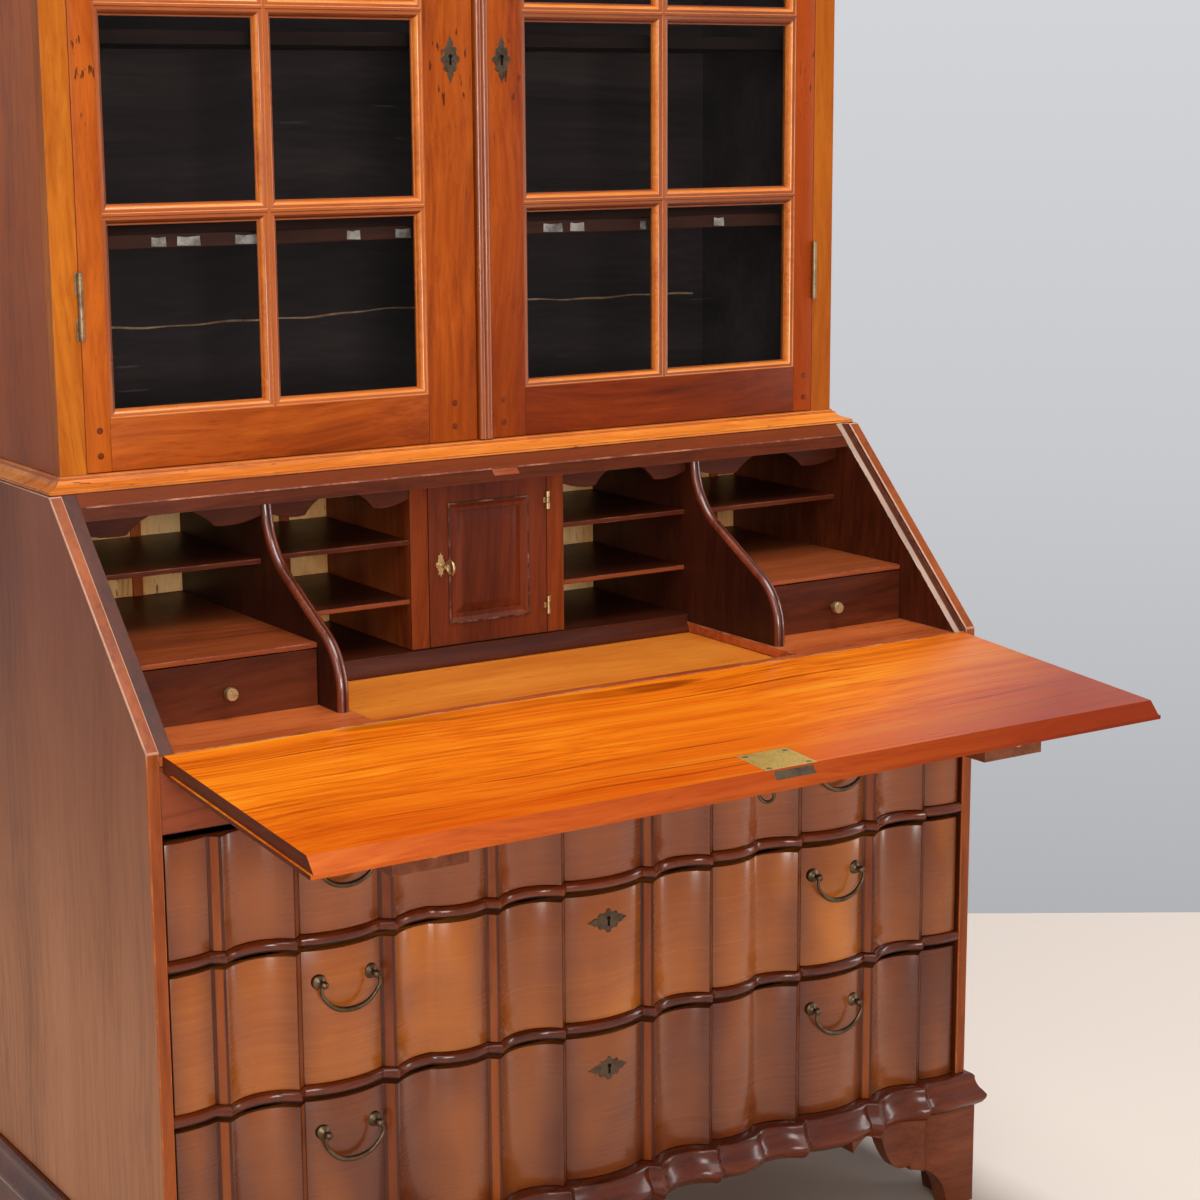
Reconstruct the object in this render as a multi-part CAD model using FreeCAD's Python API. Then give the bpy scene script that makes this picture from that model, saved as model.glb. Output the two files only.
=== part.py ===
import FreeCAD, Part
import math
import os

os.makedirs("parts", exist_ok=True)
V = FreeCAD.Vector

# Lower case: y = 0 is the front plane of the stiles, +y runs to the back
case_width = 1120.0
case_depth = 545.0
case_top = 1006.0
side_thickness = 15.0
lining_thickness = 17.0
back_thickness = 12.0
plinth_top = 177.0
foot_height = 133.0
bottom_thickness = 18.0
top_board_thickness = 18.0
fit_gap = 0.4
mitre_gap = 0.2
overrun = 40.0

# Slope of the desk and the fall flap, which hangs a little below level when open
slope_angle = 44.5
land_rise = 4.0
bed_top = 767.0
bed_thickness = 12.0
hinge_y = 1.0
hinge_gap = 2.0
flap_length = 326.0
flap_thickness = 19.0
flap_side_gap = 4.0
flap_droop = 4.2
lip_thickness = 4.5
lip_front = 14.7
lip_side = 3.0
lip_start = 24.0
flap_lock_x = 21.0
lock_plate_width = 68.0
lock_plate_depth = 54.0
lock_plate_thickness = 1.6
lock_nose_width = 52.0

# Plan of the wavy front: end x, end depth and bulge of each stretch, from the middle outwards
wave_swing = 20.0
centre_lobe_bulge_share = 0.575
wave_shares = (
    (0.0972, 0.05, 0.0),
    (0.1169, 0.63, 0.0),
    (0.2694, 0.53, -0.92),
    (0.2905, 0.0, 0.0),
    (0.4182, -0.385, 0.48),
    (0.5138, 0.485, -0.29),
    (0.5385, -0.095, 0.0),
    (0.7156, -0.05, 0.51),
    (0.7352, 0.485, 0.0),
    (0.8822, 0.24, -0.795),
    (0.9053, -0.29, 0.0),
    (1.0, 0.0, 0.15),
)

# Beaded drawer rails and the long drawers
lower_bead_z = 358.0
upper_bead_z = 530.0
bead_height = 14.0
bead_set = 6.0
bead_steps = 6
rail_depth = 60.0
runner_width = 30.0
frieze_bottom = 682.0
frieze_thickness = 20.0
dust_board_thickness = 11.5
drawer_top_gap = 6.0
drawer_gap = 1.5
drawer_front_back = 22.0
drawer_side_gap = 1.5
drawer_side_thickness = 12.0
drawer_side_drop = 14.0
drawer_back_end = 505.0
drawer_bottom_lift = 8.0
drawer_bottom_thickness = 7.0

# Bails, rosettes and keyhole plates on the long drawers
bail_inset = 206.0
bail_post_pitch = 77.0
bail_drop = 34.0
bail_overhang = 7.5
bail_wire_radius = 2.4
bail_pin_radius = 1.6
post_radius = 2.6
post_ball_radius = 4.6
post_reach = 9.0
bail_lobe_share = 0.5
rosette_radius = 8.0
rosette_thickness = 2.4
pin_clearance = 0.08
upper_bail_z = 630.0
middle_bail_z = 489.0
lower_bail_z = 316.0
upper_plate_z = 628.0
middle_plate_z = 491.0
lower_plate_z = 310.0
plate_width = 48.0
plate_height = 27.0
plate_thickness = 1.4
keyhole_radius = 2.6
keyhole_slot = 1.5
keyhole_drop = 9.0
keyhole_depth = 9.0
wing_plate_shares = (
    (0.5, 0.03), (0.36, 0.16), (0.4, 0.28), (0.27, 0.22), (0.19, 0.36), (0.14, 0.3), (0.1, 0.46),
    (0.0, 0.5), (-0.1, 0.46), (-0.14, 0.3), (-0.19, 0.36), (-0.27, 0.22), (-0.4, 0.28), (-0.36, 0.16),
    (-0.5, 0.03), (-0.38, -0.08), (-0.4, -0.26), (-0.27, -0.18), (-0.18, -0.3), (-0.13, -0.24),
    (-0.1, -0.42), (0.0, -0.5), (0.1, -0.42), (0.13, -0.24), (0.18, -0.3), (0.27, -0.18), (0.4, -0.26),
    (0.38, -0.08),
)

# Lopers that carry the open flap, and the well under the writing bed
loper_inset = 165.0
loper_width = 86.0
loper_height = 40.0
loper_reach = 270.0
loper_length = 500.0
loper_knob_radius = 6.5
loper_knob_length = 13.0
loper_guide_thickness = 13.0
loper_play = 0.5
well_guide_gap = 18.5
well_front = 17.0
well_back = 249.0
well_side_thickness = 16.0
cover_thickness = 8.0
cover_lap = 8.0
cover_rear_lap = 6.0
cover_front_lap = 3.0
cover_play = 0.4

# Fitted interior of the desk
partition_set = 4.0
partition_thickness = 14.0
partition_front = 60.0
partition_low_rise = 18.0
partition_low_radius = 75.0
partition_high_radius = 92.0
partition_slant = 25.0
partition_top_front = 241.0
partition_top_land = 5.0
rail_bottom = 979.0
plinth_rise = 10.0
plinth_front_set = 0.5
cove_depth = 8.0
centre_front = 255.0
post_inner = 84.0
post_width = 24.0
post_depth = 22.0
post_wall = 8.0
shelf_thickness = 6.0
low_shelf_z = 840.0
high_shelf_z = 912.0
shelf_set = 3.0
valance_set = 1.0
side_shelf_front = 247.0
ledge_top = 838.0
ledge_thickness = 6.0
inner_drawer_front_y = 110.0
inner_drawer_gap = 1.2
inner_drawer_front_thickness = 9.0
inner_drawer_wall = 6.0
inner_drawer_depth = 250.0
inner_drawer_bottom = 5.0
inner_knob_radius = 7.5
inner_knob_neck = 3.0
inner_knob_length = 15.0
inner_knob_z = 796.0
valance_thickness = 7.0
valance_bottom = 955.0
valance_arch_top = 979.0
side_valance_front = 244.0
valance_cusp_share = 0.26
valance_lobe_share = 0.3

# Small door in the middle of the interior
prospect_gap = 1.2
prospect_thickness = 15.0
prospect_frame_width = 29.0
prospect_panel_set = 5.0
prospect_moulding = 8.0
prospect_field_inset = 20.0
prospect_field_rise = 3.0
prospect_knuckle_radius = 2.4
prospect_hinge_height = 22.0
prospect_hinge_inset = 34.0
prospect_leaf_width = 4.5
prospect_key_inset = 15.0
prospect_plate_width = 13.0
prospect_plate_height = 30.0

# Knuckles of the door hinges
knuckle_stand = 0.35
knuckle_gap = 0.4
leaf_thickness = 1.0

# Keys
key_shank_radius = 2.2
key_shank_out = 17.0
key_shank_in = 8.0
key_bow_radius = 8.0
key_bow_wire = 1.9
key_collar_radius = 3.4
key_collar_length = 3.0
flap_key_set = 40.0

# Base moulding and bracket feet
base_projection = 21.7
base_inset = 60.0
base_profile_shares = (
    (0.0, 0.52), (0.1, 0.8), (0.24, 0.97), (0.34, 1.0), (0.44, 0.86), (0.56, 0.66), (0.7, 0.52),
    (0.82, 0.46), (0.9, 0.46), (0.96, 0.36), (1.0, 0.12),
)
foot_projection = 10.0
foot_thickness = 26.0
foot_length = 218.0
foot_edge_shares = (
    ((0.965, 1.0), None),
    ((0.955, 0.885), None),
    ((0.7, 0.885), (0.82, 0.985)),
    ((0.595, 0.57), (0.645, 0.69)),
    ((0.477, 0.54), (0.53, 0.52)),
    ((0.477, 0.49), None),
    ((0.215, 0.11), (0.31, 0.39)),
    ((0.197, 0.0), None),
)

# Waist moulding between the two cases
waist_height = 17.0
waist_projection = 22.0
waist_inset = 42.0
waist_profile_shares = (
    (0.0, 1.0), (0.2, 1.0), (0.3, 0.9), (0.42, 0.55), (0.6, 0.34), (0.8, 0.26), (0.84, 0.14), (1.0, 0.1),
)

# Upper cabinet
cabinet_set = 25.0
cabinet_front = 268.0
cabinet_side_thickness = 18.0
cabinet_board_thickness = 18.0
cabinet_height = 1041.0
frame_stile_width = 31.0
frame_depth = 20.0
shelf_board_thickness = 16.0
shelf_board_front = 306.0
shelf_first_rise = 257.0
shelf_pitch = 224.0
shelf_count = 3
shelf_scallop = 12.0
shelf_scallops = 4
shelf_end_gap = 1.0
cornice_lap = 14.0
cornice_height = 114.0
cornice_projection = 56.0
cornice_profile_shares = (
    (0.0, 0.06), (0.07, 0.1), (0.11, 0.2), (0.2, 0.2), (0.26, 0.24), (0.42, 0.3), (0.56, 0.42),
    (0.68, 0.62), (0.76, 0.84), (0.78, 0.9), (0.9, 0.92), (0.93, 1.0), (1.0, 1.0),
)

# Glazed doors
door_gap = 0.8
door_thickness = 20.0
door_bottom_gap = 1.0
door_head = 31.0
meeting_x = -4.2
meeting_gap = 2.4
hinge_stile_width = 39.0
meeting_stile_width = 76.0
door_rail_height = 68.0
pane_rows = 4
pane_columns = 2
bar_width = 23.0
bar_ridge = 7.0
bar_depth = 11.0
bar_heel = 3.5
pane_thickness = 2.0
pane_gap = 3.0
pane_play = 0.3
astragal_width = 21.0
astragal_depth = 4.5
astragal_reeds = 3
hinge_centre_inset = 183.0
hinge_height = 74.0
hinge_knuckle_radius = 3.2
hinge_leaf_width = 5.0
door_plate_x = 35.0
door_plate_rise = 449.0
door_plate_width = 20.0
door_plate_height = 46.0

# Values that follow from the driving sizes
half = case_width / 2
inner_half = half - side_thickness
lining_inner = inner_half - lining_thickness
inner_back = case_depth - back_thickness
bed_bottom = bed_top - bed_thickness
bed_front = hinge_y + hinge_gap
slope = math.radians(slope_angle)
droop = math.radians(flap_droop)
land_z = bed_top + land_rise
flap_half = inner_half - flap_side_gap
board_bottom = case_top - top_board_thickness
bail_x = inner_half - bail_inset
loper_x = inner_half - loper_inset
loper_far_x = loper_x - loper_width / 2
loper_near_x = loper_x + loper_width / 2
well_outer = loper_far_x - loper_play - loper_guide_thickness - well_guide_gap
well_half = well_outer - well_side_thickness / 2 - cover_lap
partition_inner = well_half + partition_set
partition_outer = partition_inner + partition_thickness
flap_under_at_loper = bed_top - flap_thickness - (loper_reach + hinge_y) * math.sin(droop)
loper_top = flap_under_at_loper - 2 * fit_gap
loper_bottom = loper_top - loper_height
dust_top = loper_bottom - fit_gap
cab_half = half - cabinet_set
cabinet_bottom = case_top + waist_height
cabinet_top = cabinet_bottom + cabinet_height
cornice_bottom = cabinet_top - cornice_lap
cab_inner = cab_half - cabinet_side_thickness
door_bottom = cabinet_bottom + door_bottom_gap
door_top = cabinet_top - door_head
door_plate_z = door_bottom + door_plate_rise
door_edge = cab_half - frame_stile_width - door_gap
hinge_x = cab_half - frame_stile_width - door_gap / 2
lip_tip_y = hinge_y - (flap_length + lip_front) * math.cos(droop)
front_reach = lip_tip_y + (flap_thickness - lip_thickness) * math.sin(droop)
shift = V(0, -(front_reach + case_depth) / 2, 0)


def slope_y(z):
    """Depth of the closed flap's inner face at a height."""
    return hinge_y + (z - bed_top) / math.tan(slope)


def box(x0, x1, y0, y1, z0, z1):
    return Part.makeBox(x1 - x0, y1 - y0, z1 - z0, V(x0, y0, z0))


def mirrored(shape):
    return shape.mirror(V(0, 0, 0), V(1, 0, 0))


def both(shape):
    return [shape, mirrored(shape)]


def outline(start, steps, place):
    """Closed wire from a start point and steps of (end, mid), a straight line where mid is None."""
    edges = []
    last = start
    for end, mid in list(steps) + [(start, None)]:
        if mid is None:
            if (place(*end) - place(*last)).Length > Part.Precision.confusion():
                edges.append(Part.LineSegment(place(*last), place(*end)).toShape())
        else:
            edges.append(Part.Arc(place(*last), place(*mid), place(*end)).toShape())
        last = end
    return Part.Wire(edges)


def slab_x(points, x0, x1):
    """Solid between two x planes from an outline of (y, z) points or (end, mid) steps."""
    return slab(points, lambda a, b: V(x0, a, b), V(x1 - x0, 0, 0))


def slab_y(points, y0, y1):
    return slab(points, lambda a, b: V(a, y0, b), V(0, y1 - y0, 0))


def slab_z(points, z0, z1):
    return slab(points, lambda a, b: V(a, b, z0), V(0, 0, z1 - z0))


def slab(points, place, reach):
    steps = [p if isinstance(p[0], tuple) else (p, None) for p in points]
    return Part.Face(outline(steps[0][0], steps[1:], place)).extrude(reach)


def rod(start, end, radius):
    return Part.makeCylinder(radius, (end - start).Length, start, end - start)


def ring(points, z):
    return Part.makePolygon([V(x, y, z) for x, y in points + points[:1]])


def blend(wires):
    return Part.makeLoft(wires, True, True)


# Plan of the wavy front

def wave_stretches():
    """Stretches of the plan from left to right as (start, end, bulge), bulge towards the front."""
    nodes = [(x * inner_half, -y * wave_swing, b * wave_swing) for x, y, b in wave_shares]
    rights = [(nodes[i][:2], nodes[i + 1][:2], nodes[i + 1][2]) for i in range(len(nodes) - 1)]
    lefts = [((-q[0], q[1]), (-p[0], p[1]), b) for p, q, b in reversed(rights)]
    first = nodes[0]
    middle = ((-first[0], first[1]), first[:2], centre_lobe_bulge_share * wave_swing)
    return lefts + [middle] + rights


def wave_wire(d, end_x, back_points, z):
    """Closed plan wire at a height: the wavy front moved forward by d, then the points along the back."""
    stretches = wave_stretches()
    trim = end_x / inner_half if end_x < inner_half else 1
    steps = []
    for p, q, bulge in stretches:
        run, rise = (q[0] - p[0]) * trim, q[1] - p[1]
        length = math.hypot(run, rise)
        middle_x = (p[0] + q[0]) / 2 * trim + bulge * rise / length
        middle_y = (p[1] + q[1]) / 2 - bulge * run / length - d
        steps.append(((q[0] * trim, q[1] - d), None if bulge == 0 else (middle_x, middle_y)))
    first = stretches[0][0]
    start = (-end_x, first[1] - d)
    run_in = [((first[0] * trim, first[1] - d), None)]
    run_out = [((end_x, first[1] - d), None)]
    tail = [(point, None) for point in back_points]
    return outline(start, run_in + steps + run_out + tail, lambda a, b: V(a, b, z))


def wave_slab(d, end_x, back_y, z0, z1):
    wire = wave_wire(d, end_x, [(end_x, back_y), (-end_x, back_y)], z0)
    return Part.Face(wire).extrude(V(0, 0, z1 - z0))


# Mitred mouldings round three sides

def levels(bottom, top, projection, shares):
    return [(bottom + (top - bottom) * z, projection * d) for z, d in shares]


def side_moulding(edge, front, inset, profile):
    """Right-hand return of a moulding, mitred at the front."""
    wires = []
    for z, d in profile:
        points = [(edge + d, front - d + mitre_gap), (edge + d, case_depth), (edge - inset, case_depth),
                  (edge - inset, front + inset + mitre_gap)]
        wires.append(ring(points, z))
    return blend(wires)


def straight_moulding(edge, front, inset, profile):
    wires = []
    for z, d in profile:
        points = [(-edge - d, front - d), (edge + d, front - d), (edge - inset, front + inset),
                  (inset - edge, front + inset)]
        wires.append(ring(points, z))
    return blend(wires)


def wavy_moulding(inset, profile):
    back = [(half - inset, inset), (inset - half, inset)]
    return blend([wave_wire(d, half + d, back, z) for z, d in profile])


# Carcass of the lower case

def case_side():
    top_y = (case_top - land_z) / math.tan(slope)
    points = [(0, plinth_top), (0, land_z), (top_y, case_top), (case_depth, case_top),
              (case_depth, plinth_top)]
    return slab_x(points, inner_half, half)


def lining():
    set_back = fit_gap / math.sin(slope)
    horn_back = slope_y(case_top) + 2 * set_back
    points = [(slope_y(bed_top) + set_back, bed_top), (slope_y(case_top) + set_back, case_top),
              (horn_back, case_top), (horn_back, board_bottom), (inner_back, board_bottom),
              (inner_back, bed_top)]
    return slab_x(points, lining_inner, inner_half)


def desk_front_y():
    return slope_y(case_top) + 2 * fit_gap / math.sin(slope)


def interior_rail():
    set_back = 2 * fit_gap
    points = [(slope_y(rail_bottom) + set_back, rail_bottom), (slope_y(case_top) + set_back / 2, case_top),
              (desk_front_y(), case_top), (desk_front_y(), board_bottom),
              (partition_top_front - set_back, board_bottom), (partition_top_front - set_back, rail_bottom)]
    return slab_x(points, -lining_inner, lining_inner)


def frieze():
    board = box(-inner_half, inner_half, bed_front, bed_front + frieze_thickness, frieze_bottom, bed_bottom)
    hole = box(loper_far_x - loper_play, loper_near_x + loper_play, bed_front - overrun, bed_front + overrun,
               dust_top, loper_top + loper_play)
    rabbet = box(-well_half - cover_lap - cover_play, well_half + cover_lap + cover_play,
                 well_front - cover_front_lap - cover_play, bed_front + overrun,
                 bed_bottom - cover_thickness - 2 * fit_gap, bed_bottom + overrun)
    for cut in both(hole) + [rabbet]:
        board = board.cut(cut)
    return board


def writing_bed():
    board = box(-inner_half, inner_half, bed_front, inner_back, bed_bottom, bed_top)
    hole = box(-well_half, well_half, well_front, well_back, bed_bottom - overrun, bed_top + overrun)
    return board.cut(hole)


def beaded_rail(z):
    """Drawer rail whose half-round front follows the wavy plan."""
    wires = []
    for i in range(bead_steps + 1):
        turn = math.pi * i / bead_steps
        level = z + bead_height * (1 - math.cos(turn)) / 2
        back = [(inner_half, rail_depth), (-inner_half, rail_depth)]
        wires.append(wave_wire(-bead_set * (1 - math.sin(turn)), inner_half, back, level))
    return blend(wires)


def runner(z):
    return both(box(inner_half - runner_width, inner_half, rail_depth, inner_back, z, z + bead_height))


def loper_guides():
    guides = []
    back = inner_back
    front = bed_front + frieze_thickness
    for x in (loper_far_x - loper_play - loper_guide_thickness, loper_near_x + loper_play):
        guides += both(box(x, x + loper_guide_thickness, front, back, dust_top, bed_bottom))
    return guides


def well_sides():
    front = bed_front + frieze_thickness
    top = bed_bottom - cover_thickness - 2 * fit_gap
    return both(box(well_outer - well_side_thickness, well_outer, front, inner_back, dust_top, top))


def well_cover():
    top = bed_bottom - fit_gap
    return box(-well_half - cover_lap, well_half + cover_lap, well_front - cover_front_lap,
               well_back + cover_rear_lap, top - cover_thickness, top)


# Long drawers

def drawer_front(z0, z1, plate_z):
    front = wave_slab(-bead_set, inner_half - drawer_side_gap, drawer_front_back, z0, z1)
    return front.cut(keyhole(0, -wave_swing, plate_z, drawer_front_back - keyhole_depth))


def keyhole(x, y0, z, y1):
    """Cut for a key: a round eye and a slot below it, from y0 back to y1."""
    eye = rod(V(x, y0, z), V(x, y1, z), keyhole_radius)
    return eye.fuse(box(x - keyhole_slot, x + keyhole_slot, y0, y1, z - keyhole_drop, z))


def drawer_box(z0, z1):
    top = z1 - drawer_side_drop
    outer = inner_half - drawer_side_gap
    inner = outer - drawer_side_thickness
    rear = drawer_back_end - drawer_side_thickness
    floor = z0 + drawer_bottom_lift
    return both(box(inner, outer, drawer_front_back, drawer_back_end, z0, top)) + [
        box(-inner, inner, rear, drawer_back_end, z0, top),
        box(-inner, inner, drawer_front_back, rear, floor, floor + drawer_bottom_thickness)]


def drawer_skin(z0, z1, thickness):
    """Thin layer lying on the wavy face of a drawer front."""
    outer = wave_slab(thickness - bead_set, inner_half - drawer_side_gap, drawer_front_back, z0, z1)
    return outer.cut(wave_slab(-bead_set, inner_half - drawer_side_gap, drawer_front_back, z0, z1))


def bail_axis_y():
    """Depth of the bail pins, ahead of the drawer face at the handle lobes."""
    return bead_set - wave_swing * bail_lobe_share - post_reach


def drawer_brasses(front, z0, z1, bail_z, plate_z):
    pieces = []
    y = bail_axis_y()
    for side in (-1, 1):
        for end in (-1, 1):
            x = side * bail_x + end * bail_post_pitch / 2
            seat = V(x, drawer_front_back, bail_z)
            face = front.common(rod(V(x, y, bail_z), seat, post_radius)).BoundBox.YMin
            disc = rod(V(x, face - rosette_thickness, bail_z), seat, rosette_radius)
            stem = rod(V(x, y, bail_z), V(x, face, bail_z), post_radius)
            ball = Part.makeSphere(post_ball_radius, V(x, y, bail_z))
            bore = rod(V(x - overrun, y, bail_z), V(x + overrun, y, bail_z), bail_pin_radius + pin_clearance)
            pieces.append(disc.cut(front).fuse(stem).fuse(ball).cut(bore))
    plate = slab_y([(w * plate_width, plate_z + h * plate_height) for w, h in wing_plate_shares],
                   -wave_swing, drawer_front_back)
    plate = plate.common(drawer_skin(z0, z1, plate_thickness))
    return pieces + [plate.cut(keyhole(0, -wave_swing, plate_z, drawer_front_back))]


def bail(side, z):
    """Bow wire hung in two posts by inward pins."""
    y = bail_axis_y()
    x = side * bail_x
    end = bail_post_pitch / 2 + bail_overhang
    bow = Part.Arc(V(x - end, y, z), V(x, y, z - bail_drop), V(x + end, y, z)).toShape()
    tangent = bow.tangentAt(bow.FirstParameter)
    section = Part.Wire([Part.Circle(V(x - end, y, z), tangent, bail_wire_radius).toShape()])
    solid = Part.Wire([bow]).makePipeShell([section], True, False)
    for turn in (-1, 1):
        corner = V(x + turn * end, y, z)
        solid = solid.fuse(Part.makeSphere(bail_wire_radius, corner))
        inward = V(turn * (bail_overhang + post_ball_radius), 0, 0)
        solid = solid.fuse(rod(corner, corner - inward, bail_pin_radius))
    return solid


# Flap, lopers and keys

def lowered(shape):
    """Turn a piece of the level flap down to where it rests."""
    return shape.rotate(V(0, hinge_y, bed_top), V(1, 0, 0), flap_droop)


def lock_plate():
    """Plate let into the writing face at the front edge."""
    front = hinge_y - flap_length
    return box(flap_lock_x - lock_plate_width / 2, flap_lock_x + lock_plate_width / 2, front,
               front + lock_plate_depth, bed_top - lock_plate_thickness, bed_top)


def lock_nose():
    """Lock front let into the sloping front edge."""
    tip = (flap_thickness - lip_thickness) / 2
    lean = lip_front / (flap_thickness - lip_thickness)
    front = hinge_y - flap_length
    top = bed_top - lock_plate_thickness
    face = [(front - (bed_top - z) * lean, z) for z in (top, top - tip)]
    rear = front + lock_plate_depth / 2
    points = [(rear, top), face[0], face[1], (rear, top - tip)]
    return slab_x(points, flap_lock_x - lock_nose_width / 2, flap_lock_x + lock_nose_width / 2)


def key_seat(radius):
    """Upright bore for the flap's key, from the outer face into the lock."""
    y = hinge_y - flap_length + flap_key_set
    low = bed_top - flap_thickness
    return rod(V(flap_lock_x, y, low - key_shank_in), V(flap_lock_x, y, low + key_shank_in + fit_gap), radius)


def flap_board():
    front = hinge_y - flap_length
    under = bed_top - flap_thickness
    lip_top = under + lip_thickness
    points = [(hinge_y, bed_top), (front, bed_top), (front - lip_front, lip_top), (front - lip_front, under),
              (hinge_y, under)]
    board = slab_x(points, -flap_half, flap_half)
    lip = box(flap_half, flap_half + lip_side, front - lip_front, hinge_y - lip_start, under, lip_top)
    for strip in both(lip):
        board = board.fuse(strip)
    board = board.cut(lock_plate()).cut(lock_nose())
    return lowered(board.cut(key_seat(key_shank_radius + pin_clearance)).removeSplitter())


def flap_lock():
    return [lowered(lock_plate()), lowered(lock_nose())]


def loper():
    return box(loper_far_x, loper_near_x, -loper_reach, loper_length - loper_reach, loper_bottom, loper_top)


def loper_knob():
    z = (loper_bottom + loper_top) / 2
    middle = V(loper_x, -loper_reach - loper_knob_length / 2, z)
    neck = rod(V(loper_x, -loper_reach, z), middle, loper_knob_radius / 2)
    head = Part.makeSphere(loper_knob_radius, middle)
    clear = box(loper_far_x, loper_near_x, -loper_reach, 0, loper_bottom, loper_top)
    return neck.fuse(head).cut(clear)


def key(seat, way, flat):
    """Key with its shank in a lock at seat, the bow out along way and flat across it."""
    out = seat + way * key_shank_out
    bow_at = out + way * key_bow_radius
    shank = rod(seat - way * key_shank_in, out + way * key_bow_wire, key_shank_radius)
    collar = rod(out - way * key_collar_length, out, key_collar_radius)
    bow = Part.makeTorus(key_bow_radius, key_bow_wire, bow_at, flat)
    return shank.fuse(collar).fuse(bow)


def flap_key():
    seat = V(flap_lock_x, hinge_y - flap_length + flap_key_set, bed_top - flap_thickness)
    return lowered(key(seat, V(0, 0, -1), V(1, 1, 0).normalize()))


# Interior fittings

def partition():
    low_y = partition_front + partition_low_radius
    low_z = bed_top + partition_low_rise
    high_z = board_bottom - partition_top_land
    high_y = partition_top_front - partition_high_radius
    lean = math.radians(partition_slant)
    def low(turn):
        return (low_y - partition_low_radius * math.cos(turn), low_z + partition_low_radius * math.sin(turn))
    def high(turn):
        across, drop = math.sin(turn), math.cos(turn)
        return (high_y + partition_high_radius * across, high_z - partition_high_radius * drop)
    quarter = math.pi / 2
    points = [(partition_front, bed_top), (partition_front, low_z),
              (low(quarter - lean), low((quarter - lean) / 2)), high(lean),
              (high(quarter), high((quarter + lean) / 2)), (partition_top_front, board_bottom),
              (inner_back, board_bottom), (inner_back, bed_top)]
    return slab_x(points, partition_inner, partition_outer)


def interior_base():
    """Low plinth under the pigeonholes with a hollow moulding on its front."""
    top = bed_top + plinth_rise
    front = well_back + plinth_front_set
    board = box(-partition_inner, partition_inner, front, inner_back, bed_top, top)
    low = bed_bottom + fit_gap
    toe = well_back - cove_depth
    points = [(well_back, low), (toe, low), (toe, low + plinth_rise / 2),
              ((well_back - plinth_front_set, top - plinth_rise / 4), (toe + cove_depth / 2, bed_top)),
              (well_back - plinth_front_set, top), (well_back, top)]
    return [board, slab_x(points, -well_half, well_half)]


def door_post():
    low = bed_top + plinth_rise
    outer = post_inner + post_width
    post = box(post_inner, outer, centre_front, centre_front + post_depth, low, board_bottom)
    wall = box(outer - post_wall, outer, centre_front + post_depth, inner_back, low, board_bottom)
    return post.fuse(wall).removeSplitter()


def pigeonhole_shelves():
    shelves = []
    for z in (low_shelf_z, high_shelf_z):
        shelves += both(box(post_inner + post_width, partition_inner, centre_front + shelf_set, inner_back,
                            z - shelf_thickness, z))
    shelves += both(box(partition_outer, lining_inner, side_shelf_front, inner_back,
                        high_shelf_z - shelf_thickness, high_shelf_z))
    return shelves


def ledges():
    return both(box(partition_outer, lining_inner, inner_drawer_front_y, inner_back,
                    ledge_top - ledge_thickness, ledge_top))


def valance(x0, x1, front):
    """Shaped apron: two cusps with an arch between them."""
    width = x1 - x0
    left = x0 + width * valance_cusp_share
    right = x1 - width * valance_cusp_share
    lobe_z = valance_bottom + (valance_arch_top - valance_bottom) * valance_lobe_share
    points = [(x0, board_bottom), (x0, lobe_z), ((left, valance_bottom), ((x0 + left) / 2, valance_bottom)),
              ((right, valance_bottom), ((x0 + x1) / 2, valance_arch_top)),
              ((x1, lobe_z), ((right + x1) / 2, valance_bottom)), (x1, board_bottom)]
    return slab_y(points, front, front + valance_thickness)


def valances():
    return both(valance(partition_outer, lining_inner, side_valance_front)) + both(
        valance(post_inner + post_width, partition_inner, centre_front + valance_set))


def inner_drawer_span():
    return (partition_outer + inner_drawer_gap, lining_inner - inner_drawer_gap, bed_top + fit_gap,
            ledge_top - ledge_thickness - inner_drawer_gap)


def inner_drawer():
    x0, x1, z0, z1 = inner_drawer_span()
    front = inner_drawer_front_y
    behind = front + inner_drawer_front_thickness
    end = front + inner_drawer_depth
    wall = inner_drawer_wall
    return [box(x0, x1, front, behind, z0, z1),
            box(x0, x0 + wall, behind, end, z0, z1),
            box(x1 - wall, x1, behind, end, z0, z1),
            box(x0 + wall, x1 - wall, end - wall, end, z0, z1),
            box(x0 + wall, x1 - wall, behind, end - wall, z0, z0 + inner_drawer_bottom)]


def turned_knob(x, y, z, radius, neck, length):
    """Round knob on a short neck, standing out from a front at y."""
    stem = rod(V(x, y, z), V(x, y - length / 2, z), neck)
    head_y = y - length / 2
    head = Part.makeCylinder(radius, length / 4, V(x, head_y, z), V(0, -1, 0))
    crown = Part.makeSphere(radius, V(x, head_y - length / 4, z)).cut(
        box(x - radius, x + radius, head_y - length / 4, y, z - radius, z + radius))
    flat = box(x - radius, x + radius, y - length - radius, y - length, z - radius, z + radius)
    return stem.fuse(head).fuse(crown.cut(flat)).removeSplitter()


def inner_knob():
    x0, x1 = inner_drawer_span()[:2]
    return turned_knob((x0 + x1) / 2, inner_drawer_front_y, inner_knob_z, inner_knob_radius, inner_knob_neck,
                       inner_knob_length)


# Small door in the middle

def prospect_span():
    return (post_inner - prospect_gap, bed_top + plinth_rise + prospect_gap, rail_bottom - prospect_gap)


def prospect_key_seat():
    x1, z0, z1 = prospect_span()
    return V(prospect_key_inset - x1, centre_front, (z0 + z1) / 2)


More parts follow.
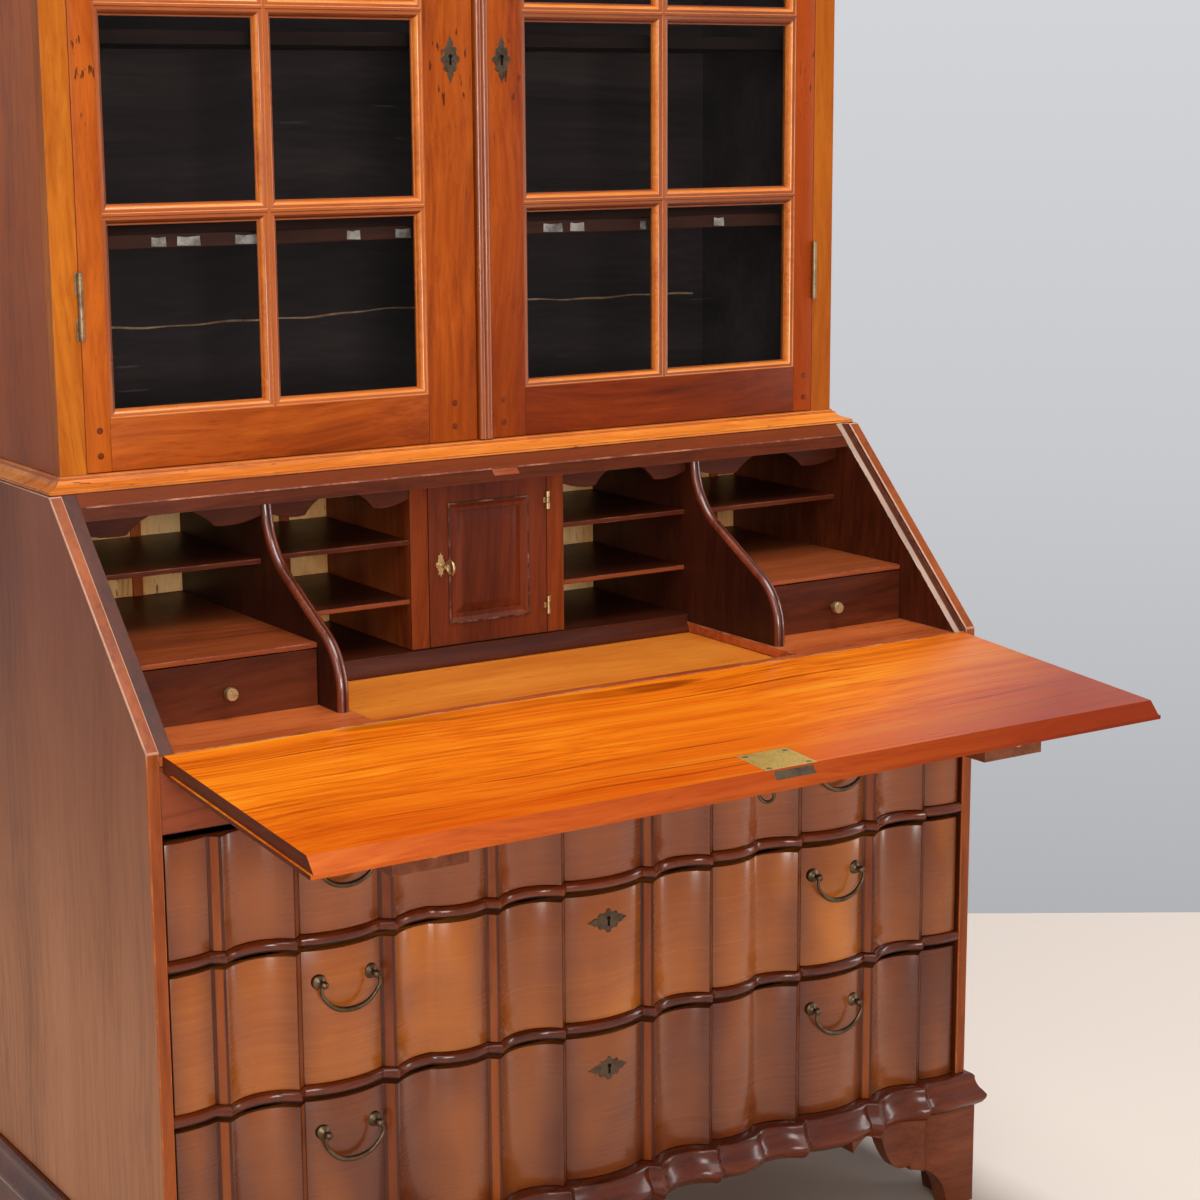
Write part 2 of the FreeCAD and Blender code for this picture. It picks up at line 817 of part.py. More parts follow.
def prospect_door():
    """Framed door: sunk panel with a raised field, and a moulding planted round it."""
    x1, z0, z1 = prospect_span()
    front = centre_front
    back = front + prospect_thickness
    w = prospect_frame_width
    sunk = front + prospect_panel_set
    frame = box(-x1, x1, front, back, z0, z1)
    frame = frame.cut(box(w - x1, x1 - w, front, back, z0 + w, z1 - w))
    seat = prospect_key_seat()
    frame = frame.cut(rod(seat, seat + V(0, key_shank_in + fit_gap, 0), key_shank_radius + pin_clearance))
    panel = box(w - x1, x1 - w, sunk, back, z0 + w, z1 - w)
    m = w + prospect_field_inset
    inner = [(m - x1, z0 + m), (x1 - m, z0 + m), (x1 - m, z1 - m), (m - x1, z1 - m)]
    e = w + prospect_moulding
    outer = [(e - x1, z0 + e), (x1 - e, z0 + e), (x1 - e, z1 - e), (e - x1, z1 - e)]
    field = blend([Part.makePolygon([V(x, y, z) for x, z in loop + loop[:1]])
                   for loop, y in ((outer, sunk), (inner, sunk - prospect_field_rise))])
    s = w + prospect_moulding
    ridge = sunk - prospect_field_rise
    bead = box(w - x1, x1 - w, ridge, sunk, z0 + w, z1 - w)
    bead = bead.cut(box(s - x1, x1 - s, ridge, sunk, z0 + s, z1 - s))
    return [frame, panel.fuse(field).removeSplitter(), bead]


def hinge_set(x, face, gap, radius, height, leaf, centres, moving):
    """Right-hand hinges in front of a face: the middle knuckle and its leaf turn with the door."""
    pieces = []
    third = height / 3
    y = face - radius - knuckle_stand
    for z in centres:
        low, high = z - height / 2, z + height / 2
        if moving:
            spans = [(low + third + knuckle_gap, high - third - knuckle_gap)]
            near, far = x - leaf, x - gap / 2
        else:
            spans = [(low, low + third), (high - third, high)]
            near, far = x + gap / 2, x + leaf
        for a, b in spans:
            barrel = rod(V(x, y, a), V(x, y, b), radius)
            pieces.append(barrel.fuse(box(near, far, face - leaf_thickness, face, a, b)))
    return pieces


def prospect_hinges(moving):
    x1, z0, z1 = prospect_span()
    centres = (z0 + prospect_hinge_inset, z1 - prospect_hinge_inset)
    return hinge_set(x1 + prospect_gap / 2, centre_front, prospect_gap, prospect_knuckle_radius,
                     prospect_hinge_height, prospect_leaf_width, centres, moving)


def prospect_brasses():
    seat = prospect_key_seat()
    plate = slab_y([(seat.x + w * prospect_plate_width, seat.z + h * prospect_plate_height)
                    for h, w in wing_plate_shares], centre_front - plate_thickness, centre_front)
    return [plate.cut(rod(seat - V(0, overrun, 0), seat, key_shank_radius + pin_clearance))]


# Upper cabinet

def cabinet_sides():
    front = cabinet_front + frame_depth
    return both(box(cab_inner, cab_half, front, case_depth, cabinet_bottom, cabinet_top))


def cabinet_boards():
    front = cabinet_front + frame_depth + fit_gap
    t = cabinet_board_thickness
    lows = (cabinet_bottom, cabinet_top - t)
    return [box(-cab_inner, cab_inner, front, inner_back, z, z + t) for z in lows]


def face_frame():
    stile = box(cab_half - frame_stile_width, cab_half, cabinet_front, cabinet_front + frame_depth,
                cabinet_bottom, cabinet_top)
    edge = cab_half - frame_stile_width
    return both(stile) + [box(-edge, edge, cabinet_front, cabinet_front + frame_depth, door_top + door_gap,
                              cabinet_top)]


def cabinet_shelves():
    """Shelves with a scalloped front edge."""
    shelves = []
    end = cab_inner - shelf_end_gap
    step = 2 * end / shelf_scallops
    for i in range(shelf_count):
        top = cabinet_bottom + shelf_first_rise + shelf_pitch * i
        points = [(-end, shelf_board_front)]
        for j in range(shelf_scallops):
            x = -end + step * j
            points.append(((x + step, shelf_board_front), (x + step / 2, shelf_board_front + shelf_scallop)))
        points += [(end, inner_back), (-end, inner_back)]
        shelves.append(slab_z(points, top - shelf_board_thickness, top))
    return shelves


# Glazed doors, made for the right-hand side and turned over for the left

def door_frame(meeting):
    """Stiles and rails of a door that ends at x = meeting, on the right of the cabinet."""
    front, back = cabinet_front, cabinet_front + door_thickness
    hang = door_edge - hinge_stile_width
    meet = meeting + meeting_stile_width
    rail_top = door_bottom + door_rail_height
    rail_low = door_top - door_rail_height
    return [box(hang, door_edge, front, back, door_bottom, door_top),
            box(meeting, meet, front, back, door_bottom, door_top),
            box(meet, hang, front, back, door_bottom, rail_top),
            box(meet, hang, front, back, rail_low, door_top)]


def sight(meeting):
    return (meeting + meeting_stile_width, door_edge - hinge_stile_width, door_bottom + door_rail_height,
            door_top - door_rail_height)


def pane_grid(meeting):
    """Sizes of the pane openings as (x0, x1, z0, z1)."""
    x0, x1, z0, z1 = sight(meeting)
    width = (x1 - x0 - bar_width * (pane_columns - 1)) / pane_columns
    height = (z1 - z0 - bar_width * (pane_rows - 1)) / pane_rows
    cells = []
    for i in range(pane_columns):
        for j in range(pane_rows):
            x = x0 + i * (width + bar_width)
            z = z0 + j * (height + bar_width)
            cells.append((x, x + width, z, z + height))
    return cells


def bar_section(middle):
    """Section of a glazing bar across its width: a heel and a ridge."""
    front = cabinet_front
    w, r = bar_width / 2, bar_ridge / 2
    shoulder = front + bar_depth - bar_heel
    return [(middle - w, front + bar_depth), (middle - w, shoulder), (middle - r, front), (middle + r, front),
            (middle + w, shoulder), (middle + w, front + bar_depth)]


def glazing_bars(meeting):
    x0, x1, z0, z1 = sight(meeting)
    cells = pane_grid(meeting)
    uprights = [cells[i * pane_rows][1] + bar_width / 2 for i in range(pane_columns - 1)]
    cross = [cells[j][3] + bar_width / 2 for j in range(pane_rows - 1)]
    grid = None
    for x in uprights:
        bar = slab_z(bar_section(x), z0, z1)
        grid = bar if grid is None else grid.fuse(bar)
    for z in cross:
        bar = slab_x([(y, a) for a, y in bar_section(z)], x0, x1)
        grid = bar if grid is None else grid.fuse(bar)
    return grid.removeSplitter()


def panes(meeting):
    front = cabinet_front + bar_depth + pane_play
    lap = bar_width / 2 - pane_gap / 2
    x0, x1, z0, z1 = sight(meeting)
    sheets = []
    for a, b, c, d in pane_grid(meeting):
        left = a + pane_play if a == x0 else a - lap
        right = b - pane_play if abs(b - x1) < pane_play else b + lap
        low = c + pane_play if c == z0 else c - lap
        high = d - pane_play if abs(d - z1) < pane_play else d + lap
        sheets.append(box(left, right, front, front + pane_thickness, low, high))
    return sheets


def astragal(meeting):
    """Reeded strip planted on the meeting stile."""
    points = [(meeting, cabinet_front)]
    step = astragal_width / astragal_reeds
    groove = cabinet_front - astragal_depth / 3
    points.append((meeting, groove))
    for i in range(astragal_reeds):
        x = meeting + step * i
        points.append(((x + step, groove), (x + step / 2, cabinet_front - astragal_depth)))
    points.append((meeting + astragal_width, cabinet_front))
    return slab_z(points, door_bottom, door_top)


def door_hinges(moving):
    centres = (door_bottom + hinge_centre_inset, door_top - hinge_centre_inset)
    return hinge_set(hinge_x, cabinet_front, door_gap, hinge_knuckle_radius, hinge_height, hinge_leaf_width,
                     centres, moving)


def door_plate():
    """Upright keyhole plate on a meeting stile."""
    plate = slab_y([(door_plate_x + w * door_plate_width, door_plate_z + h * door_plate_height)
                    for h, w in wing_plate_shares], cabinet_front - plate_thickness, cabinet_front)
    return plate.cut(keyhole(door_plate_x, cabinet_front - overrun, door_plate_z, cabinet_front))


# Bracket feet

def foot_steps(corner, way, top):
    """Outline of a bracket from its outer corner inwards, as points along the run and heights."""
    def at(share):
        return (corner - way * foot_length * share[0], top * share[1])
    steps = [((corner, 0), None), ((corner, top), None)]
    for end, mid in foot_edge_shares:
        steps.append((at(end), None if mid is None else at(mid)))
    return steps


def front_foot():
    corner = half + foot_projection
    blank = slab_y(foot_steps(corner, 1, foot_height), -overrun, foot_thickness)
    wire = wave_wire(foot_projection, corner, [(corner, foot_thickness - foot_projection),
                                               (-corner, foot_thickness - foot_projection)], 0)
    return blank.common(Part.Face(wire).extrude(V(0, 0, foot_height)))


def side_foot(at_back):
    outer = half + foot_projection
    start = case_depth if at_back else foot_thickness - foot_projection
    way = 1 if at_back else -1
    return slab_x(foot_steps(start, way, foot_height), outer - foot_thickness, outer)


# All sub-parts by name

base_profile = levels(foot_height, plinth_top, base_projection, base_profile_shares)
waist_profile = levels(case_top, cabinet_bottom, waist_projection, waist_profile_shares)
cornice_profile = levels(cornice_bottom, cornice_bottom + cornice_height, cornice_projection,
                         cornice_profile_shares)

parts = {}
parts["case_sides"] = both(case_side())
parts["desk_linings"] = both(lining())
parts["back_boards"] = [box(-inner_half, inner_half, inner_back, case_depth, plinth_top, case_top),
                        box(-cab_inner, cab_inner, inner_back, case_depth, cabinet_bottom, cabinet_top)]
parts["bottom_board"] = [box(base_inset - half, half - base_inset, base_inset, inner_back,
                             plinth_top - bottom_thickness, plinth_top)]
parts["desk_top_board"] = [box(-inner_half, inner_half, desk_front_y(), inner_back, board_bottom, case_top)]
parts["writing_bed"] = [writing_bed()]
parts["frieze_rail"] = [frieze()]
parts["well_box"] = well_sides() + [box(-inner_half, inner_half, bed_front + frieze_thickness, inner_back,
                                        dust_top - dust_board_thickness, dust_top)]
parts["drawer_rails"] = [beaded_rail(z) for z in (lower_bead_z, upper_bead_z)]
parts["drawer_runners"] = runner(lower_bead_z) + runner(upper_bead_z)
parts["loper_guides"] = loper_guides()
base_side = side_moulding(half, 0, base_inset, base_profile)
parts["base_moulding"] = [wavy_moulding(base_inset, base_profile)] + both(base_side)
parts["bracket_feet"] = both(front_foot()) + both(side_foot(False)) + both(side_foot(True))
waist_side = side_moulding(cab_half, cabinet_front, waist_inset, waist_profile)
waist_edge = cab_half - waist_inset - mitre_gap
parts["waist_moulding"] = both(waist_side) + [
    straight_moulding(cab_half, cabinet_front, waist_inset, waist_profile),
    box(-waist_edge, waist_edge, case_depth - waist_inset, case_depth, case_top, cabinet_bottom)]
parts["interior_rail"] = [interior_rail()]
parts["curved_partitions"] = both(partition())
parts["interior_base"] = interior_base()
parts["door_posts"] = both(door_post())
parts["pigeonhole_shelves"] = pigeonhole_shelves() + ledges()
parts["valances"] = valances()
parts["well_cover"] = [well_cover()]

parts["flap_board"] = [flap_board()]
parts["flap_lock"] = flap_lock()
parts["flap_key"] = [flap_key()]
for name, turn in (("right", lambda s: s), ("left", mirrored)):
    parts["loper_" + name] = [turn(loper()), turn(loper_knob())]
    parts["inner_drawer_" + name] = [turn(s) for s in inner_drawer()]
    parts["inner_knob_" + name] = [turn(inner_knob())]

drawers = (
    ("top", upper_bead_z + bead_height, frieze_bottom - drawer_top_gap, upper_bail_z, upper_plate_z),
    ("middle", lower_bead_z + bead_height, upper_bead_z, middle_bail_z, middle_plate_z),
    ("bottom", plinth_top, lower_bead_z, lower_bail_z, lower_plate_z),
)
for name, low, high, bail_z, plate_z in drawers:
    z0, z1 = low + fit_gap, high - drawer_gap
    front = drawer_front(z0, z1, plate_z)
    parts["drawer_front_" + name] = [front]
    parts["drawer_box_" + name] = drawer_box(z0, z1)
    parts["drawer_brasses_" + name] = drawer_brasses(front, z0, z1, bail_z, plate_z)
    parts["bail_right_" + name] = [bail(1, bail_z)]
    parts["bail_left_" + name] = [bail(-1, bail_z)]

parts["prospect_door"] = prospect_door()
parts["prospect_brasses"] = prospect_brasses() + prospect_hinges(True)
parts["prospect_key"] = [key(prospect_key_seat(), V(0, -1, 0), V(1, 0, 0))]

parts["cabinet_sides"] = cabinet_sides()
parts["cabinet_boards"] = cabinet_boards()
parts["cabinet_face_frame"] = face_frame()
parts["cabinet_shelves"] = cabinet_shelves()
cornice_side = side_moulding(cab_half, cabinet_front, 0, cornice_profile)
parts["cornice"] = [straight_moulding(cab_half, cabinet_front, 0, cornice_profile)] + both(cornice_side)
door_leaves = door_hinges(False)
parts["fixed_hinges"] = door_leaves + [mirrored(s) for s in door_leaves] + prospect_hinges(False)
for name, turn, meeting in (("right", lambda s: s, meeting_x + meeting_gap / 2),
                            ("left", mirrored, meeting_gap / 2 - meeting_x)):
    parts["door_frame_" + name] = [turn(s) for s in door_frame(meeting) + [glazing_bars(meeting)]]
    parts["door_panes_" + name] = [turn(s) for s in panes(meeting)]
    parts["door_brasses_" + name] = [turn(s) for s in door_hinges(True) + [door_plate()]]
parts["door_frame_right"].append(astragal(meeting_x + meeting_gap / 2))

for name, solids in parts.items():
    shape = Part.makeCompound(solids) if len(solids) > 1 else solids[0]
    shape.translate(shift)
    shape.exportStep("parts/" + name + ".step")

print(len(parts), "nodes, shift", round(shift.y, 3))
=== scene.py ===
import math
import bmesh
import bpy
from mathutils import Matrix, Vector
from mathutils.bvhtree import BVHTree


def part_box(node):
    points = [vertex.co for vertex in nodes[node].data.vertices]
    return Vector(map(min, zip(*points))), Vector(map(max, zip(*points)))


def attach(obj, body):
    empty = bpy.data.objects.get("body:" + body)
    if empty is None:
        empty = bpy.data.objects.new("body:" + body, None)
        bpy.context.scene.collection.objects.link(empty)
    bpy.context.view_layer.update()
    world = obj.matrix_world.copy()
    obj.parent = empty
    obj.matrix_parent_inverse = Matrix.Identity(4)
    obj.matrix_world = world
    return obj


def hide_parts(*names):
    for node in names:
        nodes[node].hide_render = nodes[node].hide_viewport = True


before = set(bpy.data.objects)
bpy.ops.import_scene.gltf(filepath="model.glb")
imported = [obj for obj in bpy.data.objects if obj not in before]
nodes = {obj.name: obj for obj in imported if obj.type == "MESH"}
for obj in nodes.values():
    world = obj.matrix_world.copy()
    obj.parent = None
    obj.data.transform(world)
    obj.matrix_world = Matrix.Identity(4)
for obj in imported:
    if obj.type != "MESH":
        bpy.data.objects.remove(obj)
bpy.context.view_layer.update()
levels = ("top", "middle", "bottom")  # long drawers
sides = {"left": -1, "right": 1}
print("frame loaded,", len(nodes), "nodes")


# camera

cameraSet = {
    "place": (-1.5205, -2.4242, 1.4193),
    "yaw": 33.147,  # from +Y towards +X
    "pitch": -11.218,
    "roll": -0.305,
    "lens": 74.86,
    "sensor": 36.0,
    "clip": (0.05, 60),
}


def tone(screen):  # screen colour 0-255 to linear light
    linear = []
    for part in screen:
        part /= 255
        linear.append(part / 12.92 if part <= 0.04045 else ((part + 0.055) / 1.055) ** 2.4)
    return (*linear, 1.0)


def viewAxes():
    yaw, pitch, roll = (math.radians(cameraSet[key]) for key in ("yaw", "pitch", "roll"))
    ahead = Vector((math.sin(yaw) * math.cos(pitch), math.cos(yaw) * math.cos(pitch), math.sin(pitch)))
    right = Vector((math.cos(yaw), -math.sin(yaw), 0))
    up = right.cross(ahead)
    turnedRight = right * math.cos(roll) + up * math.sin(roll)
    turnedUp = up * math.cos(roll) - right * math.sin(roll)
    return turnedRight, turnedUp, ahead


def makeCamera():
    data = bpy.data.cameras.new("camera")
    data.lens = cameraSet["lens"]
    data.sensor_width = cameraSet["sensor"]
    data.clip_start, data.clip_end = cameraSet["clip"]
    camera = bpy.data.objects.new("camera", data)
    right, up, ahead = viewAxes()
    turn = Matrix((right, up, -ahead)).transposed().to_4x4()
    camera.matrix_world = Matrix.Translation(cameraSet["place"]) @ turn
    bpy.context.scene.collection.objects.link(camera)
    bpy.context.scene.camera = camera


# shader helpers

class Wire:  # one output socket that takes part in sums
    def __init__(self, finish, socket):
        self.finish = finish
        self.socket = socket

    def maths(self, operation, second=0.0, first=None, clamp=False):
        return self.finish.node("ShaderNodeMath", {"operation": operation, "use_clamp": clamp},
                                {0: self if first is None else first, 1: second})

    def __add__(self, other):
        return self.maths("ADD", other)

    def __radd__(self, other):
        return self.maths("ADD", self, other)

    def __sub__(self, other):
        return self.maths("SUBTRACT", other)

    def __rsub__(self, other):
        return self.maths("SUBTRACT", self, other)

    def __mul__(self, other):
        return self.maths("MULTIPLY", other)

    def __rmul__(self, other):
        return self.maths("MULTIPLY", self, other)

    def __truediv__(self, other):
        return self.maths("DIVIDE", other)

    def __rtruediv__(self, other):
        return self.maths("DIVIDE", self, other)

    def over(self, edge, soft):  # 0 below the edge, 1 above it, over a soft width
        return (self - edge).maths("MULTIPLY", 1 / soft, clamp=True)


class Finish:  # one material and the nodes in it
    def __init__(self, name, world=None):
        self.material = world or bpy.data.materials.new(name)
        self.material.use_nodes = True
        self.tree = self.material.node_tree
        self.tree.nodes.clear()

    def node(self, kind, settings=None, inputs=None, output=0):
        made = self.tree.nodes.new(kind)
        for key, value in (settings or {}).items():
            if key == "stops":
                self.fillRamp(made.color_ramp, value)
            else:
                setattr(made, key, value)
        for key, value in (inputs or {}).items():
            if isinstance(value, Wire):
                self.tree.links.new(value.socket, made.inputs[key])
            else:
                made.inputs[key].default_value = value
        return Wire(self, made.outputs[output]) if made.outputs else made

    def fillRamp(self, ramp, stops):
        while len(ramp.elements) < len(stops):
            ramp.elements.new(0.5)
        for element, (place, colour) in zip(ramp.elements, stops):
            element.position = place
            element.color = tone(colour)

    def place(self, scale=(1, 1, 1), turn=(0, 0, 0), move=(0, 0, 0)):
        spot = self.node("ShaderNodeTexCoord", output="Object")
        return self.node("ShaderNodeMapping", inputs={"Vector": spot, "Scale": scale, "Rotation": turn,
                                                      "Location": move})

    def axis(self, name):
        return self.node("ShaderNodeSeparateXYZ", inputs={0: self.place()}, output=name)

    def noise(self, at, scale, detail=3.0, rough=0.55, warp=0.0, output="Fac"):
        return self.node("ShaderNodeTexNoise", inputs={"Vector": at, "Scale": scale, "Detail": detail,
                                                       "Roughness": rough, "Distortion": warp}, output=output)

    def ramp(self, value, stops):
        return self.node("ShaderNodeValToRGB", {"stops": stops}, {"Fac": value})

    def mix(self, share, first, second, way="MIX"):
        return self.node("ShaderNodeMix", {"data_type": "RGBA", "blend_type": way, "clamp_factor": True},
                         {0: share, 6: first, 7: second}, 2)

    def shift(self, at, push, amount):  # move a place by a coloured noise
        return self.node("ShaderNodeVectorMath", {"operation": "MULTIPLY_ADD"},
                         {0: push, 1: (amount, amount, amount), 2: at})

    def bump(self, height, strength, depth):
        return self.node("ShaderNodeBump", inputs={"Height": height, "Strength": strength, "Distance": depth})

    def blend(self, share, first, second):  # two shaders
        return self.node("ShaderNodeMixShader", inputs={0: share, 1: first, 2: second})

    def output(self, shader, kind="ShaderNodeOutputMaterial"):
        self.node(kind, inputs={"Surface": shader})
        return self.material

    def surface(self, inputs):
        return self.output(self.node("ShaderNodeBsdfPrincipled", inputs=inputs))


finishes = {}


# wood finishes

woodBase = {
    "grain": "x",
    "stretch": 0.05,  # along the grain against across it
    "depth": 1.0,  # figure going into the board against across it
    "bands": 11.0,
    "fibres": 130.0,
    "pores": 520.0,
    "bend": 0.10,
    "bandShare": 0.6,
    "poreDepth": 0.30,
    "ringCount": 0.0,  # dark growth lines, none at zero
    "ringScale": 3.0,
    "ringDepth": 0.5,
    "ringFrom": 0.62,  # thinner lines nearer to one
    "ringTone": None,  # the dark colour where none is given
    "plank": 0.0,  # width of upright boards with dark joints, one sheet at zero
    "patchScale": 3.2,
    "patchShare": 0.4,
    "rough": 0.42,
    "gloss": 0.18,
    "coat": 0.05,
    "bumpDepth": 0.00008,
    "seed": 0.0,
    "fade": 0.0,  # colour shift from left to right across a slanted line; on the flap it is painted shade
    "fadeTone": (150, 60, 30),
    "fadeFrom": 0.62,
    "fadeSpan": 0.35,
    "fadeSlant": 1.4,
    "fleck": 0.0,  # short dark dents
    "fleckHeight": 0.0,  # dents gather round this height, everywhere at zero
    "gold": 0.0,  # lighter clouds
    "goldTone": (214, 122, 50),
    "rise": 0.0,  # colour shift along one axis
    "riseAxis": "Z",
    "riseTone": (191, 163, 163),
    "riseFrom": 0.30,
    "riseSpan": 0.55,
    "riseWay": "MULTIPLY",
    "paleFrom": 0.0,  # dusty strip between two places in x
    "paleTo": 0.0,
    "grime": 0.0,  # painted shade along the seams, from the piece's own attribute
    "seamShadeTone": (70, 26, 12),
}


def alongGrain(look, share):  # scale that draws a pattern out along the grain
    scale = {"x": 1.0, "y": look["depth"], "z": 1.0}
    scale[look["grain"]] = look["stretch"] * share
    return tuple(scale.values())


def shiftTone(paint, look, colour):
    if look["rise"]:
        climb = paint.axis(look["riseAxis"]).over(look["riseFrom"], look["riseSpan"])
        colour = paint.mix(climb * look["rise"], colour, tone(look["riseTone"]), look["riseWay"])
    # slanted colour shift, painted shade on the flap
    if look["fade"]:
        slant = paint.axis("X") - paint.axis("Y") * look["fadeSlant"]
        share = slant.over(look["fadeFrom"], look["fadeSpan"]) * look["fade"]
        colour = paint.mix(share, colour, tone(look["fadeTone"]))
    return colour


def growthLines(paint, look, colour, plain, run):
    swirl = paint.noise(run, look["ringScale"], 2, 0.45, 0.6) * look["ringCount"]
    lines = swirl.maths("SINE").over(look["ringFrom"], 1 - look["ringFrom"])
    lines = lines * paint.noise(plain, 4.0, 2).over(0.42, 0.2)  # broken here and there
    return paint.mix(lines * look["ringDepth"], colour, tone(look["ringTone"] or look["dark"]))


def plankJoints(paint, look, colour):
    boards = paint.axis("X") / look["plank"]
    number = boards.maths("FLOOR")
    joint = (boards - number - 0.5).maths("ABSOLUTE").over(0.492, 0.004)
    shade = (number * 0.377 + 0.2).maths("FRACT")  # each board its own shade
    colour = paint.mix(shade * 0.4, colour, tone(look["patch"]))
    return paint.mix(joint, colour, tone((40, 20, 8)))


def goldClouds(paint, look, colour, seed):
    spot = paint.place((1, 1, 0.6), move=(seed[2], seed[0], seed[1]))
    clouds = paint.noise(spot, 7, 2, 0.5).over(0.46, 0.2)
    return paint.mix(clouds * look["gold"], colour, tone(look["goldTone"]))


def darkDents(paint, look, colour):
    short = tuple(0.22 if axis == look["grain"] else 1.0 for axis in "xyz")
    dents = paint.noise(paint.place(short, move=(0.3, 0.1, 0.7)), 170, 2, 0.5)
    if look["fleckHeight"]:
        height = paint.axis("Z") - look["fleckHeight"]
        dents = dents + (0.10 - height.maths("ABSOLUTE") * 1.6)
    return paint.mix(dents.over(0.69, 0.04) * look["fleck"], colour, tone((44, 16, 8)))


# darkens the colour along the seams: painted shade
def paintSeamShade(paint, look, colour):
    seamShadeShare = paint.node("ShaderNodeAttribute", {"attribute_name": "grime"}, output="Fac")
    return paint.mix(seamShadeShare * look["grime"], colour, tone(look["seamShadeTone"]))


def dustyStrip(paint, look, colour, smudge):
    place = paint.axis("X")
    strip = place.over(look["paleFrom"], 0.002) - place.over(look["paleTo"], 0.002)
    return paint.mix(strip * (smudge.over(0.35, 0.3) * 0.4 + 0.5), colour, tone((196, 168, 150)))


def wood(name, dark, middle, light, patch, **changes):
    look = {**woodBase, "dark": dark, "patch": patch, **changes}
    paint = Finish(name)
    seed = (look["seed"], look["seed"] * 1.7, look["seed"] * 0.6)
    plain = paint.place(move=seed)
    push = paint.noise(plain, 1.7, 2, output="Color")
    run = paint.shift(paint.place(alongGrain(look, 1), move=seed), push, look["bend"])
    thread = paint.shift(paint.place(alongGrain(look, 0.5), move=seed), push, look["bend"])
    bands = paint.noise(run, look["bands"], 3, 0.5, 0.3)
    fibres = paint.noise(run, look["fibres"], 5, 0.62)
    pores = paint.noise(thread, look["pores"], 2, 0.5).over(0.58, 0.14)
    smudge = paint.noise(plain, 8, 4, 0.6)
    tint = bands * look["bandShare"] + fibres * (1 - look["bandShare"])
    colour = paint.ramp(tint, [(0.32, dark), (0.49, middle), (0.66, light)])
    patches = paint.noise(plain, look["patchScale"], 3, 0.5).over(0.40, 0.34)
    colour = paint.mix(patches * look["patchShare"], colour, tone(patch))
    colour = shiftTone(paint, look, colour)
    if look["ringCount"]:
        colour = growthLines(paint, look, colour, plain, run)
    if look["plank"]:
        colour = plankJoints(paint, look, colour)
    colour = paint.mix(pores * look["poreDepth"], colour, tone(dark))
    if look["gold"]:
        colour = goldClouds(paint, look, colour, seed)
    if look["fleck"]:
        colour = darkDents(paint, look, colour)
    if look["grime"]:
        colour = paintSeamShade(paint, look, colour)
    if look["paleTo"]:
        colour = dustyStrip(paint, look, colour, smudge)
    finishes[name] = paint.surface({
        "Base Color": colour, "Roughness": smudge * 0.20 + fibres * 0.08 + (look["rough"] - 0.14),
        "Coat Weight": look["coat"], "Coat Roughness": 0.14, "Specular IOR Level": look["gloss"],
        "Normal": paint.bump(fibres * 0.5 - pores * 0.4, 0.4, look["bumpDepth"])})


# other finishes

def wornEdge(name, pale, dark, share=0.5, rough=0.5, rightOnly=False, highlightFrom=0.0):  # rubbed arris
    paint = Finish(name)
    plain = paint.place()
    rub = paint.noise(plain, 34, 5, 0.7).over(0.68 - share * 0.4, 0.34)
    fine = paint.noise(plain, 260, 3, 0.6)
    if rightOnly:
        rub = rub * paint.axis("X").over(0, 0.01)
    colour = paint.mix(rub, tone(dark), tone(pale))
    if highlightFrom:  # paler above a height: painted highlight on the edges there
        colour = paint.mix(paint.axis("Z").over(highlightFrom, 0.02) * 0.55, colour, tone((220, 188, 166)))
    colour = paint.mix(fine.over(0.5, 0.3) * 0.4, colour, tone(dark))
    finishes[name] = paint.surface({"Base Color": colour, "Roughness": fine * 0.2 + (rough - 0.1),
                                    "Specular IOR Level": 0.3, "Normal": paint.bump(fine, 0.4, 0.0002)})


def metal(name, bright, dull, rough, tarnish):
    paint = Finish(name)
    plain = paint.place()
    cloud = paint.noise(plain, 60, 5, 0.65)
    pits = paint.noise(plain, 420, 3, 0.6)
    colour = paint.mix(cloud.over(0.62 - tarnish * 0.3, 0.25), tone(bright), tone(dull))
    colour = paint.mix(pits.over(0.58, 0.1) * 0.6, colour, tone((30, 24, 16)))
    finishes[name] = paint.surface({"Base Color": colour, "Metallic": 0.92,
                                    "Roughness": cloud * 0.25 + pits * 0.12 + (rough - 0.18),
                                    "Normal": paint.bump(pits * 0.5 + cloud * 0.5, 0.35, 0.0003)})


def oldGlass(name):
    paint = Finish(name)
    plain = paint.place()
    ripple = paint.bump(paint.noise(plain, 5, 2, 0.5), 0.05, 0.001)
    scratch = paint.noise(paint.place((0.05, 1, 1), (0, 0.15, 0)), 240, 2, 0.6).over(0.70, 0.05)
    dust = paint.noise(plain, 30, 5, 0.7).over(0.58, 0.3)
    film = paint.node("ShaderNodeBsdfDiffuse", inputs={"Color": tone((150, 146, 140))})
    clear = paint.node("ShaderNodeBsdfTransparent", inputs={"Color": (0.80, 0.81, 0.80, 1)})
    gloss = paint.node("ShaderNodeBsdfGlossy",
                       inputs={"Roughness": 0.06, "Color": (1, 1, 1, 1), "Normal": ripple})
    pane = paint.blend(paint.node("ShaderNodeFresnel", inputs={"IOR": 1.14}), clear, gloss)
    finishes[name] = paint.output(paint.blend(scratch * 0.05 + dust * 0.012, pane, film))


# finishes of the pieces; a wood has its dark, middle, light and patch colours

